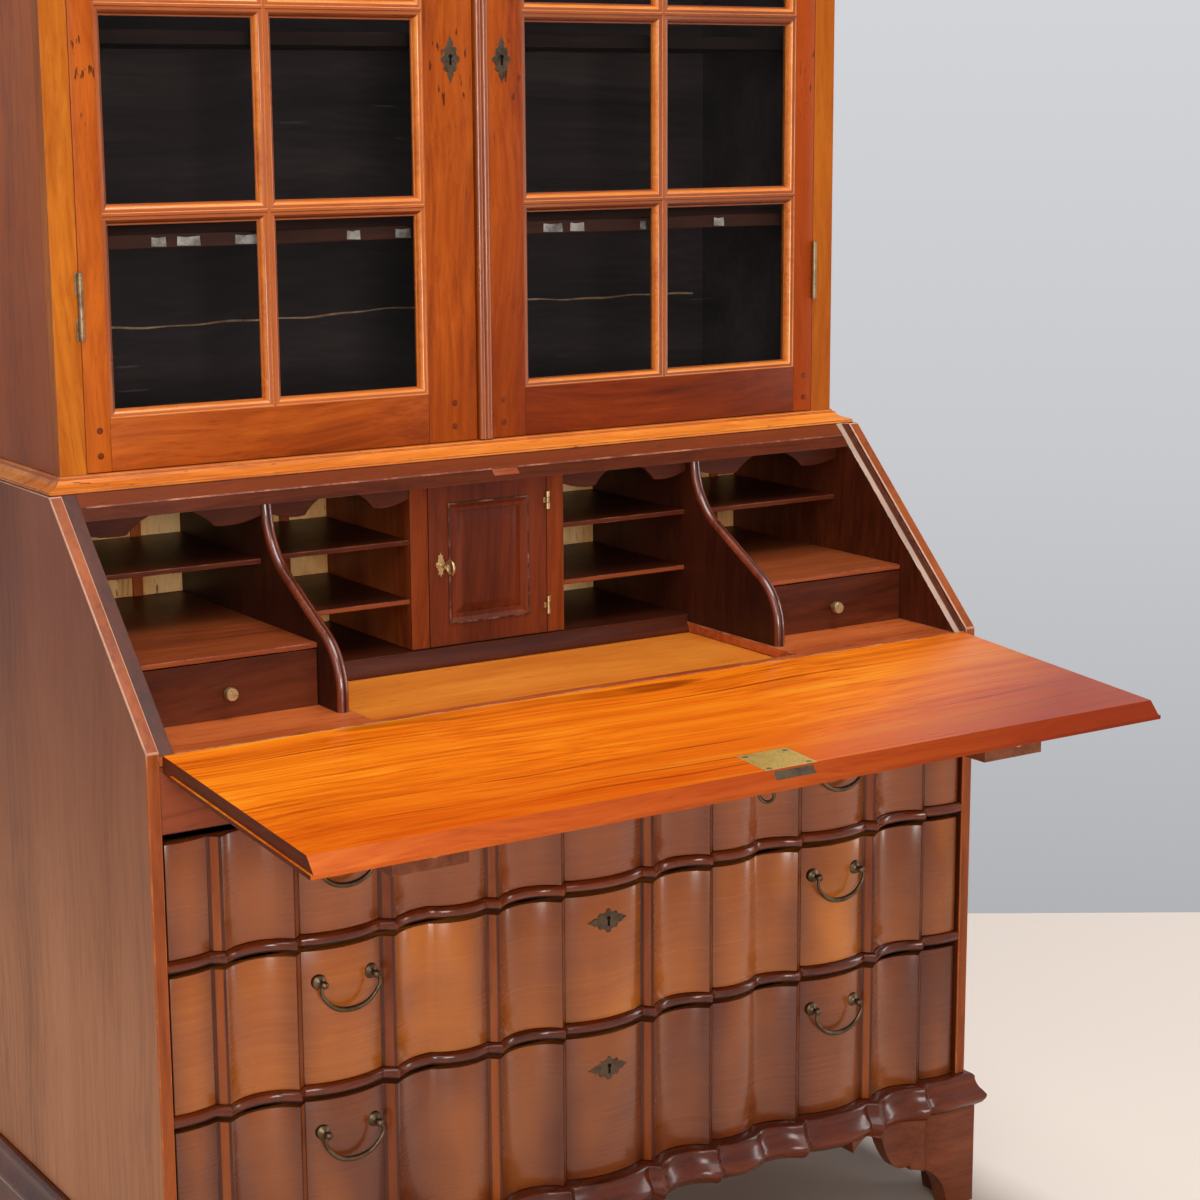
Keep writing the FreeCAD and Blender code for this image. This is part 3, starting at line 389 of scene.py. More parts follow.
def makeDoorFinishes():
    orange = (84, 31, 6), (154, 69, 16), (188, 96, 26), (118, 47, 11)
    quiet = {"gloss": 0.1, "coat": 0.03, "bands": 15, "patchShare": 0.5}
    dented = {"fleck": 0.8, "fleckHeight": 1.46}
    glossy = {"rough": 0.3, "coat": 0.4, "gloss": 0.4, "poreDepth": 0.1}
    for grain in "xz":
        wood("doorLeft" + grain, *orange, **quiet, **dented, grain=grain, seed=1.3)
        wood("upperFrame" + grain, (108, 50, 9), (174, 93, 20), (210, 126, 36), (144, 69, 14), **quiet,
             grain=grain, seed=7.7, fade=0.5, fadeTone=(142, 66, 12), fadeFrom=0.1, fadeSlant=0.0)
        wood("barLeft" + grain, (140, 64, 16), (168, 84, 23), (188, 104, 34), (142, 64, 16), **glossy,
             grain=grain, seed=2.4)
        wood("barRight" + grain, (116, 52, 15), (144, 70, 21), (168, 92, 34), (120, 54, 15), **glossy,
             grain=grain, seed=5.4)
    # lit and shaded copies of the bar wood: painted highlight and painted shade
    wood("barBright", (176, 88, 24), (214, 122, 42), (232, 148, 66), (190, 100, 30), seed=1.2, rough=0.26,
         coat=0.5, gloss=0.5, poreDepth=0.1)
    wood("barDim", (72, 28, 8), (110, 48, 14), (136, 66, 24), (86, 34, 10), seed=3.2, rough=0.3, coat=0.3,
         gloss=0.3)
    wood("doorRightz", (78, 28, 7), (136, 55, 14), (168, 80, 23), (108, 41, 10), **quiet, **dented, grain="z",
         seed=4.1, fade=0.55, fadeTone=(182, 76, 14), fadeFrom=0.2, fadeSlant=0.0)
    wood("doorRightx", (66, 22, 6), (110, 40, 10), (136, 56, 16), (88, 31, 8), **quiet, seed=4.1)
    wood("peg", (50, 17, 4), (112, 44, 12), (140, 62, 20), (76, 28, 8), grain="y", seed=1.0, gloss=0.1)
    wood("cornice", *orange, seed=2.2)
    oldGlass("glass")


def makeCaseFinishes():
    board = {"grain": "z", "rough": 0.5, "coat": 0.04, "bands": 8, "stretch": 0.035, "patchScale": 1.4}
    wood("caseSide", (134, 82, 51), (183, 120, 80), (202, 138, 96), (169, 109, 73), **board, seed=5.0,
         rise=1.0, riseFrom=0.42, riseSpan=0.48)
    wood("cabinetSide", (126, 59, 22), (178, 92, 38), (198, 110, 48), (164, 82, 33), **board, seed=8.0,
         rise=1.0, riseTone=(222, 214, 222), riseFrom=1.55, riseSpan=-0.45)
    wood("waist", (144, 66, 17), (216, 121, 38), (244, 158, 66), (184, 92, 26), seed=3.4, fleck=0.7)
    wood("stileEdge", (102, 44, 14), (148, 72, 28), (172, 93, 42), (122, 55, 21), grain="z", seed=6.4)
    wood("base", (50, 16, 5), (92, 36, 13), (116, 50, 20), (72, 27, 10), seed=4.9, rough=0.26, coat=0.2,
         gloss=0.25)
    wood("foot", (60, 24, 11), (100, 48, 26), (126, 66, 38), (82, 37, 20), seed=6.6, rough=0.38)
    wood("frieze", (80, 32, 14), (132, 62, 34), (158, 82, 46), (108, 48, 28), seed=7.1)
    wood("loper", (70, 34, 18), (118, 64, 38), (148, 88, 56), (94, 48, 28), grain="y", seed=1.9, rough=0.5)
    wood("lining", (130, 78, 40), (184, 128, 76), (208, 156, 102), (160, 106, 62), grain="y", seed=3.1,
         rough=0.65, coat=0.0, gloss=0.2)
    pine = (128, 76, 38), (238, 180, 114), (248, 206, 148), (184, 124, 70)
    raw = {"grain": "z", "seed": 4.4, "rough": 0.75, "coat": 0.0, "gloss": 0.1, "poreDepth": 0.4,
           "ringCount": 30, "ringScale": 2.4, "fleck": 0.8, "patchShare": 0.7, "patchScale": 22}
    wood("pine", *pine, **raw)
    wood("plankPine", *pine, **raw, plank=0.1816)
    wood("bookcase", (38, 31, 31), (61, 51, 50), (79, 67, 65), (52, 46, 49), seed=5.9, rough=0.6, coat=0.0,
         gloss=0.15)
    wood("shelfDark", (26, 17, 15), (42, 29, 26), (56, 40, 35), (34, 24, 22), seed=8.1, rough=0.6, coat=0.0,
         gloss=0.1)
    wood("shelf", (40, 21, 15), (70, 37, 27), (94, 52, 38), (54, 29, 21), seed=8.8, rough=0.5)


def makeDeskFinishes():
    # the flap turns dark red beyond a slanted line to the right: painted shade
    wood("flapTop", (180, 70, 8), (252, 132, 18), (255, 178, 46), (232, 104, 14), patchShare=0.45, bands=24,
         bend=0.055, stretch=0.028, fibres=210, rough=0.3, gloss=0.12, seed=0.6, bandShare=0.5,
         ringCount=110.0, ringScale=4.6, ringDepth=0.8, ringFrom=0.9, ringTone=(132, 44, 4), fade=0.85,
         fadeTone=(144, 36, 5), bumpDepth=0.00004, rise=0.6, riseAxis="Y", riseFrom=-0.28, riseSpan=-0.12,
         riseTone=(200, 70, 7), riseWay="MIX")
    wood("flapEdge", (104, 36, 8), (182, 80, 22), (210, 106, 36), (156, 60, 15), seed=1.6, rise=0.9,
         riseAxis="X", riseFrom=-0.5, riseSpan=0.95, riseTone=(122, 34, 4), riseWay="MIX", gloss=0.08,
         coat=0.02)
    wood("flapDark", (52, 20, 9), (96, 44, 24), (122, 60, 34), (76, 32, 17), grain="y", seed=1.6, gloss=0.08,
         rough=0.6, coat=0.0)
    wood("well", (160, 78, 18), (222, 124, 38), (240, 146, 52), (204, 106, 30), seed=2.7, rough=0.44,
         patchShare=0.3, fleck=0.3)
    wood("bed", (110, 42, 16), (184, 88, 38), (210, 112, 56), (150, 62, 28), seed=9.3, rough=0.46,
         patchScale=9, fleck=0.5)
    dark = (42, 14, 6), (78, 32, 14), (104, 47, 22), (60, 23, 10)
    # darker towards the back of the desk: painted shade
    paintedShadeInward = {"rise": 0.85, "riseAxis": "Y", "riseFrom": 0.10, "riseSpan": 0.20, "riseTone": (110, 100, 100)}
    wood("interiorx", *dark, **paintedShadeInward, seed=6.1)
    wood("interiorz", *dark, grain="z", seed=6.1)
    wood("partition", (26, 9, 5), (52, 21, 11), (72, 31, 16), (40, 15, 8), grain="z", seed=6.1)
    wood("rail", (38, 13, 5), (77, 30, 12), (104, 45, 18), (60, 24, 10), seed=7.4, rough=0.5, patchScale=9,
         patchShare=0.6, gloss=0.06, coat=0.02, rise=0.45, riseTone=(140, 64, 28), riseFrom=0.9925,
         riseSpan=0.0006, riseWay="MIX")
    wood("lip", (60, 20, 9), (104, 42, 21), (136, 64, 36), (80, 30, 14), grain="z", seed=6.8, rough=0.26,
         coat=0.6, gloss=0.5)
    wood("slip", (104, 42, 20), (168, 84, 48), (196, 112, 72), (140, 62, 34), seed=2.6, gloss=0.1)
    wood("batten", (90, 34, 12), (150, 70, 32), (174, 90, 44), (116, 50, 22), grain="z", seed=2.8, rough=0.6,
         gloss=0.1)
    # dark front faces of the right lining: painted shade, with a dusty strip
    wood("liningFront", (40, 15, 7), (72, 31, 15), (96, 44, 22), (56, 23, 11), grain="z", seed=9.1, rough=0.5,
         gloss=0.1, paleFrom=0.526, paleTo=0.535)
    wood("prospect", (54, 18, 7), (98, 40, 18), (124, 54, 24), (78, 28, 12), grain="z", seed=3.3, rough=0.4)
    wood("ledge", (84, 32, 12), (142, 66, 30), (168, 88, 44), (112, 48, 22), **paintedShadeInward, seed=3.9, rough=0.46)
    wood("post", (76, 29, 10), (130, 58, 23), (156, 76, 33), (102, 42, 17), grain="z", seed=2.9, gloss=0.1)


def makeDrawerFinishes():
    block = {"stretch": 0.012, "depth": 0.02, "bands": 8, "fibres": 300, "rough": 0.27, "coat": 0.45,
             "gloss": 0.32, "patchShare": 0.75, "patchScale": 4.0, "bandShare": 0.5, "poreDepth": 0.06,
             "bumpDepth": 0.00001, "bend": 0.03, "fadeSlant": 0.0, "fadeFrom": 0.05}
    # the long drawer fronts darken along their seams: painted shade
    wood("drawerTop", (124, 59, 22), (140, 70, 27), (154, 81, 32), (106, 47, 18), **block, seed=1.1,
         grime=0.42, gold=0.35, goldTone=(172, 94, 34))
    wood("drawerMiddle", (148, 74, 21), (164, 87, 24), (178, 99, 29), (110, 50, 16), **block, seed=2.3,
         grime=0.46, gold=0.75, goldTone=(210, 122, 34), fade=0.4, fadeTone=(112, 50, 15))
    wood("drawerBottom", (108, 50, 19), (123, 60, 23), (140, 74, 30), (88, 38, 15), **block, seed=3.7,
         grime=0.64, gold=0.6, goldTone=(162, 88, 31))
    # flat strips facing sideways, toned for the light they catch: painted highlight, with the grain running
    # up
    wood("facet", (98, 40, 12), (146, 70, 24), (172, 90, 34), (116, 52, 17), grain="z", seed=5.5, coat=0.3,
         rough=0.3, grime=0.25)
    # darker outer parts of the flat strips: painted shade
    wood("facetShade", (48, 18, 6), (84, 36, 13), (108, 50, 20), (64, 26, 9), grain="z", seed=5.8, coat=0.3,
         rough=0.3)
    wood("bead", (54, 17, 4), (104, 42, 13), (132, 60, 22), (80, 30, 9), seed=2.0, rough=0.2, coat=0.2,
         gloss=0.3)


def makeEdgeFinishes():  # pale where rubbed, dark where not
    wornEdge("seam", (138, 68, 34), (48, 17, 7), 0.3, 0.35)
    wornEdge("railLine", (206, 140, 104), (104, 46, 26), 0.6)
    # near white patches on the shelf edge: painted glints
    wornEdge("shelfGlint", (240, 238, 234), (92, 82, 76), 0.85, 0.6)
    wornEdge("crack", (246, 206, 164), (150, 102, 70), 0.8, 0.7)
    wornEdge("paleEdge", (214, 168, 136), (126, 64, 36), 0.6)
    wornEdge("flapArris", (196, 112, 58), (128, 58, 26), 0.45, 0.45)
    wornEdge("mouldEdge", (176, 140, 118), (58, 24, 13), 0.5, 0.6)
    wornEdge("redEdge", (190, 118, 80), (104, 42, 25), 0.5, 0.4)
    wornEdge("liningEdge", (236, 214, 198), (92, 42, 24), 0.8, rightOnly=True)
    # the case side's edges turn pale above the desk height: painted highlight
    wornEdge("sideEdge", (206, 122, 54), (156, 76, 26), 0.5, 0.42, highlightFrom=0.76)
    wornEdge("orangeEdge", (206, 122, 54), (156, 76, 26), 0.5, 0.42)
    wornEdge("darkEdge", (150, 86, 54), (74, 30, 15), 0.4, 0.4)


def makeMetalFinishes():
    metal("brass", (106, 87, 64), (58, 47, 36), 0.40, 0.6)
    metal("lockBrass", (255, 226, 128), (206, 174, 98), 0.42, 0.25)
    metal("knobBrass", (206, 182, 132), (140, 118, 82), 0.38, 0.4)
    metal("steel", (150, 128, 98), (94, 78, 60), 0.46, 0.55)
    metal("plate", (96, 79, 63), (56, 46, 39), 0.44, 0.55)
    # near black finish of keyholes and screw slots: painted shade
    metal("keyhole", (22, 16, 12), (14, 10, 8), 0.6, 0.5)


# dressing of the carried-over pieces

dressSet = {
    "weld": 0.00002,
    "roundSteps": 2,
    "evenWeight": 90,
    "loperKnob": -0.3745,  # a loper's knob lies in front of this
    "frameStile": 0.504,  # stiles of the face frame lie further out
    "cabinetSkin": 0.534,  # outer faces lie further out
    "caseSkin": 0.559,
    "cabinetLid": 2.05,
    "lowShelf": 1.4,
    "upperBack": 1.02,
    "deskHinges": 1.0,
    "ledge": (0.8315, 0.8385),
}


def dress(node, width, looks, edge=None, pick=None, angle=34):  # width of the rounded edges in millimetres
    thing = nodes[node]
    names = looks.split()
    thing.data.materials.clear()
    for name in names + ([edge] if edge else []):
        thing.data.materials.append(finishes[name])
    for face in thing.data.polygons:
        face.use_smooth = True
        face.material_index = int(pick(face.center, face.normal)) if pick else 0
    weld = thing.modifiers.new("weld", "WELD")
    weld.merge_threshold = dressSet["weld"]
    arris = thing.modifiers.new("arris", "BEVEL")
    arris.width = width / 1000
    arris.segments = dressSet["roundSteps"]
    arris.limit_method = "ANGLE"
    arris.angle_limit = math.radians(angle)
    arris.material = len(names) if edge else -1
    even = thing.modifiers.new("even", "WEIGHTED_NORMAL")
    even.weight = dressSet["evenWeight"]


def dressCabinet():
    dress("cabinet_face_frame", 1.2, "upperFramez upperFramex", "orangeEdge",
          lambda spot, facing: abs(spot.x) <= dressSet["frameStile"])
    dress("cabinet_sides", 1.2, "cabinetSide bookcase", "orangeEdge",
          lambda spot, facing: abs(spot.x) <= dressSet["cabinetSkin"] and facing.y <= 0.5)
    dress("cabinet_boards", 0.8, "bookcase pine",
          pick=lambda spot, facing: facing.z > 0.5 and spot.z > dressSet["cabinetLid"])
    dress("cabinet_shelves", 1.2, "shelfDark shelf", pick=lambda spot, facing: spot.z < dressSet["lowShelf"])
    dress("cornice", 1.0, "cornice", "orangeEdge")
    dress("waist_moulding", 0.8, "waist", "orangeEdge")
    dress("fixed_hinges", 0.3, "steel knobBrass", pick=lambda spot, facing: spot.z < dressSet["deskHinges"])


def dressCase():
    dress("case_sides", 1.6, "caseSide interiorz stileEdge", "sideEdge", lambda spot, facing:
          0 if abs(spot.x) > dressSet["caseSkin"] or facing.y > 0.5 else (2 if facing.y < -0.3 else 1))
    dress("back_boards", 0.6, "plankPine bookcase",
          pick=lambda spot, facing: spot.z > dressSet["upperBack"] and facing.y < -0.5)
    dress("bottom_board", 0.8, "lining")
    dress("frieze_rail", 1.0, "frieze", "darkEdge")
    dress("drawer_rails", 0.5, "bead shelfDark", pick=lambda spot, facing: facing.z < -0.5, angle=50)
    dress("drawer_runners", 0.8, "lining")
    dress("loper_guides", 0.8, "lining")
    dress("base_moulding", 0.5, "base", angle=50)
    dress("bracket_feet", 1.2, "foot", "darkEdge")
    for level in levels:
        dress("drawer_box_" + level, 0.8, "lining")
    for side in sides:
        dress("loper_" + side, 1.2, "loper knobBrass", "darkEdge",
              lambda spot, facing: spot.y < dressSet["loperKnob"])


def dressDesk():
    for side in sides:
        dress("inner_drawer_" + side, 1.0, "interiorx", "darkEdge")
        dress("inner_knob_" + side, 0.3, "knobBrass")
    # the front faces of the linings take dark tones, so that they read with the shaded inside: painted shade
    dress("desk_linings", 2.4, "interiorz liningFront", "liningEdge",
          lambda spot, facing: facing.y < -0.3 and spot.x > 0)
    dress("desk_top_board", 1.0, "interiorx", "darkEdge")
    dress("writing_bed", 1.0, "bed", "paleEdge")
    dress("well_box", 0.6, "interiorx")
    dress("well_cover", 0.8, "well", "darkEdge")
    dress("interior_rail", 1.6, "rail", "darkEdge")
    dress("interior_base", 1.2, "interiorx", "darkEdge")
    dress("door_posts", 1.2, "post", "darkEdge")
    dress("pigeonhole_shelves", 0.9, "interiorx ledge", "redEdge",
          lambda spot, facing: dressSet["ledge"][0] < spot.z < dressSet["ledge"][1])
    dress("valances", 0.9, "interiorx", "darkEdge")
    dress("flap_board", 1.1, "flapTop flapEdge flapDark", "flapArris",
          lambda spot, facing: 0 if facing.z > 0.9 else (2 if abs(facing.x) > 0.4 else 1))
    dress("flap_lock", 0.4, "lockBrass plate", pick=lambda spot, facing: facing.z <= 0.9)
    dress("flap_key", 0.2, "brass")
    dress("prospect_door", 1.1, "prospect", "darkEdge")
    dress("prospect_brasses", 0.2, "knobBrass")
    dress("prospect_key", 0.2, "knobBrass")


# helpers for new pieces

def linkMesh(name, shape, materials):
    mesh = bpy.data.meshes.new(name)
    shape.to_mesh(mesh)
    shape.free()
    for material in materials:
        mesh.materials.append(material)
    thing = bpy.data.objects.new(name, mesh)
    bpy.context.scene.collection.objects.link(thing)
    return thing


def finishPiece(name, shape, body, looks, crisp=40, outward=True):
    if outward:
        bmesh.ops.recalc_face_normals(shape, faces=shape.faces)
    for face in shape.faces:
        face.smooth = True
    for edge in shape.edges:  # sharp corners stay crisp
        if len(edge.link_faces) == 2:
            edge.smooth = edge.calc_face_angle(0) < math.radians(crisp)
    piece = linkMesh(name, shape, [finishes[look] for look in looks.split()])
    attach(piece, body)
    return piece


def only(made, kind):
    return [item for item in made["geom"] if isinstance(item, kind)]


def pushFaces(shape, faces, way):  # draw faces out into a solid
    made = bmesh.ops.extrude_face_region(shape, geom=faces)
    bmesh.ops.translate(shape, vec=way, verts=only(made, bmesh.types.BMVert))


def roundEdges(shape, edges, offset, segments=2, look=-1):
    bmesh.ops.bevel(shape, geom=edges, offset=offset, offset_type="OFFSET", segments=segments, profile=0.5,
                    affect="EDGES", material=look, clamp_overlap=True)


def cutAcross(shape, parts, place, way, clear=False):
    return bmesh.ops.bisect_plane(shape, geom=parts, dist=0.0000001, plane_co=place, plane_no=way,
                                  clear_inner=clear, clear_outer=clear)


def wholeOf(shape):
    return shape.verts[:] + shape.edges[:] + shape.faces[:]


def copyNode(node):
    shape = bmesh.new()
    shape.from_mesh(nodes[node].data)
    bmesh.ops.remove_doubles(shape, verts=shape.verts, dist=0.00001)
    return shape


def surfaceAt(node, start, way):  # first place met on a carried-over piece, and where it faces
    shape = bmesh.new()
    shape.from_mesh(nodes[node].data)
    tree = BVHTree.FromBMesh(shape)
    shape.free()
    return tree.ray_cast(Vector(start), Vector(way))[:2]


def standOn(shape, verts, spot, facing):  # from facing -y at the origin to a place on a surface
    turn = Vector((0, -1, 0)).rotation_difference(facing).to_matrix()
    bmesh.ops.rotate(shape, verts=verts, cent=(0, 0, 0), matrix=turn)
    bmesh.ops.translate(shape, verts=verts, vec=spot)


def addBlock(shape, low, high, rounding, look=0):
    corners = bmesh.ops.create_cube(shape, size=1)["verts"]
    size = Vector(high) - Vector(low)
    bmesh.ops.scale(shape, vec=size, verts=corners)
    bmesh.ops.translate(shape, vec=Vector(low) + size / 2, verts=corners)
    for face in {face for corner in corners for face in corner.link_faces}:
        face.material_index = look
    roundEdges(shape, list({edge for corner in corners for edge in corner.link_edges}), rounding)


def addLathe(shape, profile, place, steps=24, along=(0, -1, 0)):  # profile of radius and height
    ring = [shape.verts.new(place + Vector((radius, 0, 0)) + Vector(along) * height)
            for radius, height in profile]
    line = [shape.edges.new(pair) for pair in zip(ring, ring[1:])]
    bmesh.ops.spin(shape, geom=ring + line, cent=place, axis=along, angle=math.tau, steps=steps,
                   use_merge=True)


def addPlate(shape, points, thick):  # front outline, drawn back
    pushFaces(shape, [shape.faces.new([shape.verts.new(point) for point in points])], (0, thick, 0))


def addMitredFrame(shape, low, high, widths, profile, front):
    # outer corners in x and z, widths left, right, bottom and top, profile of (share of the width, depth)
    middle = (low[0] + high[0]) / 2, (low[1] + high[1]) / 2
    made, rim = [], []
    for share, depth in profile + profile[:1]:
        left, right = low[0] + widths[0] * share, high[0] - widths[1] * share
        bottom, top = low[1] + widths[2] * share, high[1] - widths[3] * share
        y = front + depth
        if not rim:
            spots = (left, bottom), (right, bottom), (right, top), (left, top)
            ring = [shape.verts.new((x, y, z)) for x, z in spots]
            rim = [shape.edges.new((ring[i], ring[i - 1])) for i in range(4)]
        else:
            grown = bmesh.ops.extrude_edge_only(shape, edges=rim)
            ring, rim = only(grown, bmesh.types.BMVert), only(grown, bmesh.types.BMEdge)
            for vert in ring:
                x = left if vert.co.x < middle[0] else right
                z = bottom if vert.co.z < middle[1] else top
                vert.co = (x, y, z)
        made += ring
    bmesh.ops.remove_doubles(shape, verts=made, dist=0.00001)


# keyhole plates

plateSet = {
    "bevel": 0.0005,
    "cuts": 6,  # upright cuts in each half, so that the plate can bend
    "proudShare": 0.7,  # of the thickness, in front of the face
    "eyeRadius": 0.0026,
    "eyeRise": 0.003,
    "slotHalf": 0.0015,
    "slotDrop": 0.0068,
    "slotThick": 0.0006,
}
plateShares = [  # right half of a plate, top to bottom, shares of the half length and half width
    (0.0, 1.0), (0.10, 0.93), (0.13, 0.70), (0.30, 0.62), (0.40, 0.72), (0.52, 0.46), (0.50, 0.28),
    (0.66, 0.34), (0.80, 0.16), (1.0, 0.0), (0.80, -0.16), (0.66, -0.34), (0.50, -0.28), (0.52, -0.46),
    (0.40, -0.72), (0.30, -0.62), (0.14, -0.74), (0.10, -0.95), (0.0, -1.0)]


def keyPlate(centre, size, upright, depthAt):  # size is length, width and thickness
    shape = bmesh.new()
    half = [(along * size[0] / 2, over * size[1] / 2) for along, over in plateShares]
    points = half + [(-along, over) for along, over in half[-2:0:-1]]
    if upright:
        points = [(over, -along) for along, over in points]
    addPlate(shape, [(centre.x + x, 0, centre.z + z) for x, z in points], size[2])
    rim = [edge for edge in shape.edges if all(abs(vert.co.y) < 0.00001 for vert in edge.verts)]
    roundEdges(shape, rim, plateSet["bevel"], 1)
    cuts = plateSet["cuts"]
    for step in range(1 - cuts, cuts):
        cutAcross(shape, wholeOf(shape), (centre.x + size[0] / 2 * step / cuts, 0, 0), (1, 0, 0))
    for vert in shape.verts:  # bent to lie on the face
        vert.co.y += depthAt(vert.co.x) - size[2] * plateSet["proudShare"]
    return shape


def keyhole(centre, y):  # dark eye and slot: painted shade standing in for the open keyhole
    shape = bmesh.new()
    radius, half, drop = plateSet["eyeRadius"], plateSet["slotHalf"], plateSet["slotDrop"]
    turns = [math.radians(turn) for turn in range(-60, 241, 30)]
    spots = [(radius * math.cos(turn), plateSet["eyeRise"] + radius * math.sin(turn)) for turn in turns]
    spots += [(-half, -drop), (half, -drop)]
    addPlate(shape, [(centre.x + x, y, centre.z + z) for x, z in spots], plateSet["slotThick"])
    return shape


# glazed doors

doorSet = {
    "hingeStile": 0.039,
    "meetingStile": 0.076,
    "rail": 0.068,
    "bar": 0.023,
    "sticking": 0.010,  # moulded edge worked on stiles and rails
    "barWear": (0.45, 0.55),  # how far a face has to turn up or aside to be painted lit or shaded
    "columns": 2,
    "rows": 4,
    "front": 0.164362,
    "thick": 0.020,
    "edge": 0.0008,
    "jointGap": 0.0002,
    "glassBack": 0.0118,
    "glassLap": 0.002,
    "glassCells": 5,
    "pegRows": (0.018, 0.046),  # from the lower and upper ends
    "pegShift": 0.002,
    "reeds": 2,
    "reedSteps": 9,
    "stripHigh": 0.0045,
    "stripEdge": 0.0012,
    "stripSink": 0.001,
    "stripWide": 0.018,
}
pegProfile = [(0, 0.0004), (0.0028, 0.0004), (0.0034, 0.0001), (0.0038, 0.0003), (0.0038, -0.001)]


def stickingProfile():  # from the flat edge to the glass and round the back
    profile = [(0.0, 0.0003), (0.12, 0.0003), (0.16, 0.0011)]
    for step in range(8):
        turn = math.radians(90 * step / 7)
        profile.append((0.19 + 0.66 * math.sin(turn), 0.0086 - 0.0073 * math.cos(turn)))
    profile += [(0.86, 0.0094), (1.0, 0.0094), (1.0, 0.0112), (0.62, 0.0112), (0.62, 0.0200), (0.0, 0.0200)]
    return profile


def doorPlan(side):  # outer box of a leaf, its glazed opening, and the size and places of its panes
    low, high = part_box("door_frame_" + side)
    stiles = doorSet["meetingStile"], doorSet["hingeStile"]
    first, last = stiles if side == "right" else stiles[::-1]
    left, right = low.x + first, high.x - last
    bottom, top = low.z + doorSet["rail"], high.z - doorSet["rail"]
    columns, rows, bar = doorSet["columns"], doorSet["rows"], doorSet["bar"]
    wide = (right - left - bar * (columns - 1)) / columns
    tall = (top - bottom - bar * (rows - 1)) / rows
    panes = [(column, row, left + column * (wide + bar), bottom + row * (tall + bar))
             for column in range(columns) for row in range(rows)]
    return {"low": low, "high": high, "sight": (left, right, bottom, top), "pane": (wide, tall),
            "panes": panes}


def makeDoorFrame(side, plan):
    low, high = plan["low"], plan["high"]
    left, right, bottom, top = plan["sight"]
    front, back = doorSet["front"], doorSet["front"] + doorSet["thick"]
    reach, gap, edge = doorSet["sticking"], doorSet["jointGap"], doorSet["edge"]
    shape = bmesh.new()
    addBlock(shape, (low.x, front, low.z), (left - reach, back, high.z), edge)
    addBlock(shape, (right + reach, front, low.z), (high.x, back, high.z), edge)
    for z0, z1 in ((low.z, bottom - reach), (top + reach, high.z)):
        addBlock(shape, (left - reach + gap, front + gap, z0), (right + reach - gap, back, z1), edge, 1)
    title = side.title()
    looks = "door%sz door%sx" % (title, title)
    piece = finishPiece("doorFrame" + title, shape, "door_" + side, looks)
    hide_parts("door_frame_" + side)


def makeDoorBars(side, plan):
    reach, half = doorSet["sticking"], doorSet["bar"] / 2
    columns, rows, (wide, tall) = doorSet["columns"], doorSet["rows"], plan["pane"]
    level, across = doorSet["barWear"]
    shape = bmesh.new()
    for column, row, x, z in plan["panes"]:
        outer = column == 0, column == columns - 1, row == 0, row == rows - 1
        edges = [reach if end else half for end in outer]
        addMitredFrame(shape, (x - edges[0], z - edges[2]), (x + wide + edges[1], z + tall + edges[3]), edges,
                       stickingProfile(), doorSet["front"])
    bmesh.ops.recalc_face_normals(shape, faces=shape.faces)
    for face in shape.faces:
        run = max(face.edges, key=lambda edge: edge.calc_length())
        along = run.verts[0].co - run.verts[1].co
        face.material_index = 0 if abs(along.z) > abs(along.x) else 1
        if face.normal.z > level or face.normal.x < -across:  # painted highlight above and to the left
            face.material_index = 2
        elif face.normal.z < -level or face.normal.x > across:  # painted shade below and to the right
            face.material_index = 3
    title = side.title()
    looks = "bar%sz bar%sx barBright barDim" % (title, title)
    finishPiece("doorBars" + title, shape, "door_" + side, looks, 32)


def makePanes(side, plan):
    wide, tall = plan["pane"]
    lap, cells = doorSet["glassLap"], doorSet["glassCells"]
    y = doorSet["front"] + doorSet["glassBack"]
    shape = bmesh.new()
    for *_, x, z in plan["panes"]:
        sheet = bmesh.ops.create_grid(shape, x_segments=cells, y_segments=cells, size=0.5,
                                      matrix=Matrix.Rotation(math.radians(90), 4, "X"))["verts"]
        bmesh.ops.scale(shape, vec=(wide + lap * 2, 1, tall + lap * 2), verts=sheet)
        bmesh.ops.translate(shape, vec=(x + wide / 2, y, z + tall / 2), verts=sheet)
    piece = finishPiece("glassPanes" + side.title(), shape, "door_" + side, "glass", outward=False)
    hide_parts("door_panes_" + side)


def makePegs(side, plan):
    low, high, reach = plan["low"], plan["high"], doorSet["sticking"]
    left, right = plan["sight"][:2]
    first, second = doorSet["pegRows"]
    shape = bmesh.new()
    for x in ((low.x + left - reach) / 2, (high.x + right + reach) / 2):
        for z in (low.z + first, low.z + second, high.z - first, high.z - second):
            addLathe(shape, pegProfile, Vector((x + doorSet["pegShift"], doorSet["front"], z)), 16)
    finishPiece("doorPegs" + side.title(), shape, "door_" + side, "peg")


def makeReededStrip(plan):  # covers the meeting of the doors
    low, high, front = plan["low"], plan["high"], doorSet["front"]
    wide, edge, steps = doorSet["stripWide"] / doorSet["reeds"], doorSet["stripEdge"], doorSet["reedSteps"]
    points = [(low.x, front + doorSet["stripSink"])]
    for reed in range(doorSet["reeds"]):
        for step in range(steps):
            turn = math.pi * (step + 0.5) / steps
            points.append((low.x + wide * (reed + 0.5 - 0.5 * math.cos(turn)),
                           front - edge - (doorSet["stripHigh"] - edge) * math.sin(turn)))
    points.append((low.x + doorSet["stripWide"], front + doorSet["stripSink"]))
    shape = bmesh.new()
    foot = shape.faces.new([shape.verts.new((x, y, low.z)) for x, y in points])
    pushFaces(shape, [foot], (0, 0, high.z - low.z))
    finishPiece("reededStrip", shape, "door_right", "barRightz", 50)


# door fittings

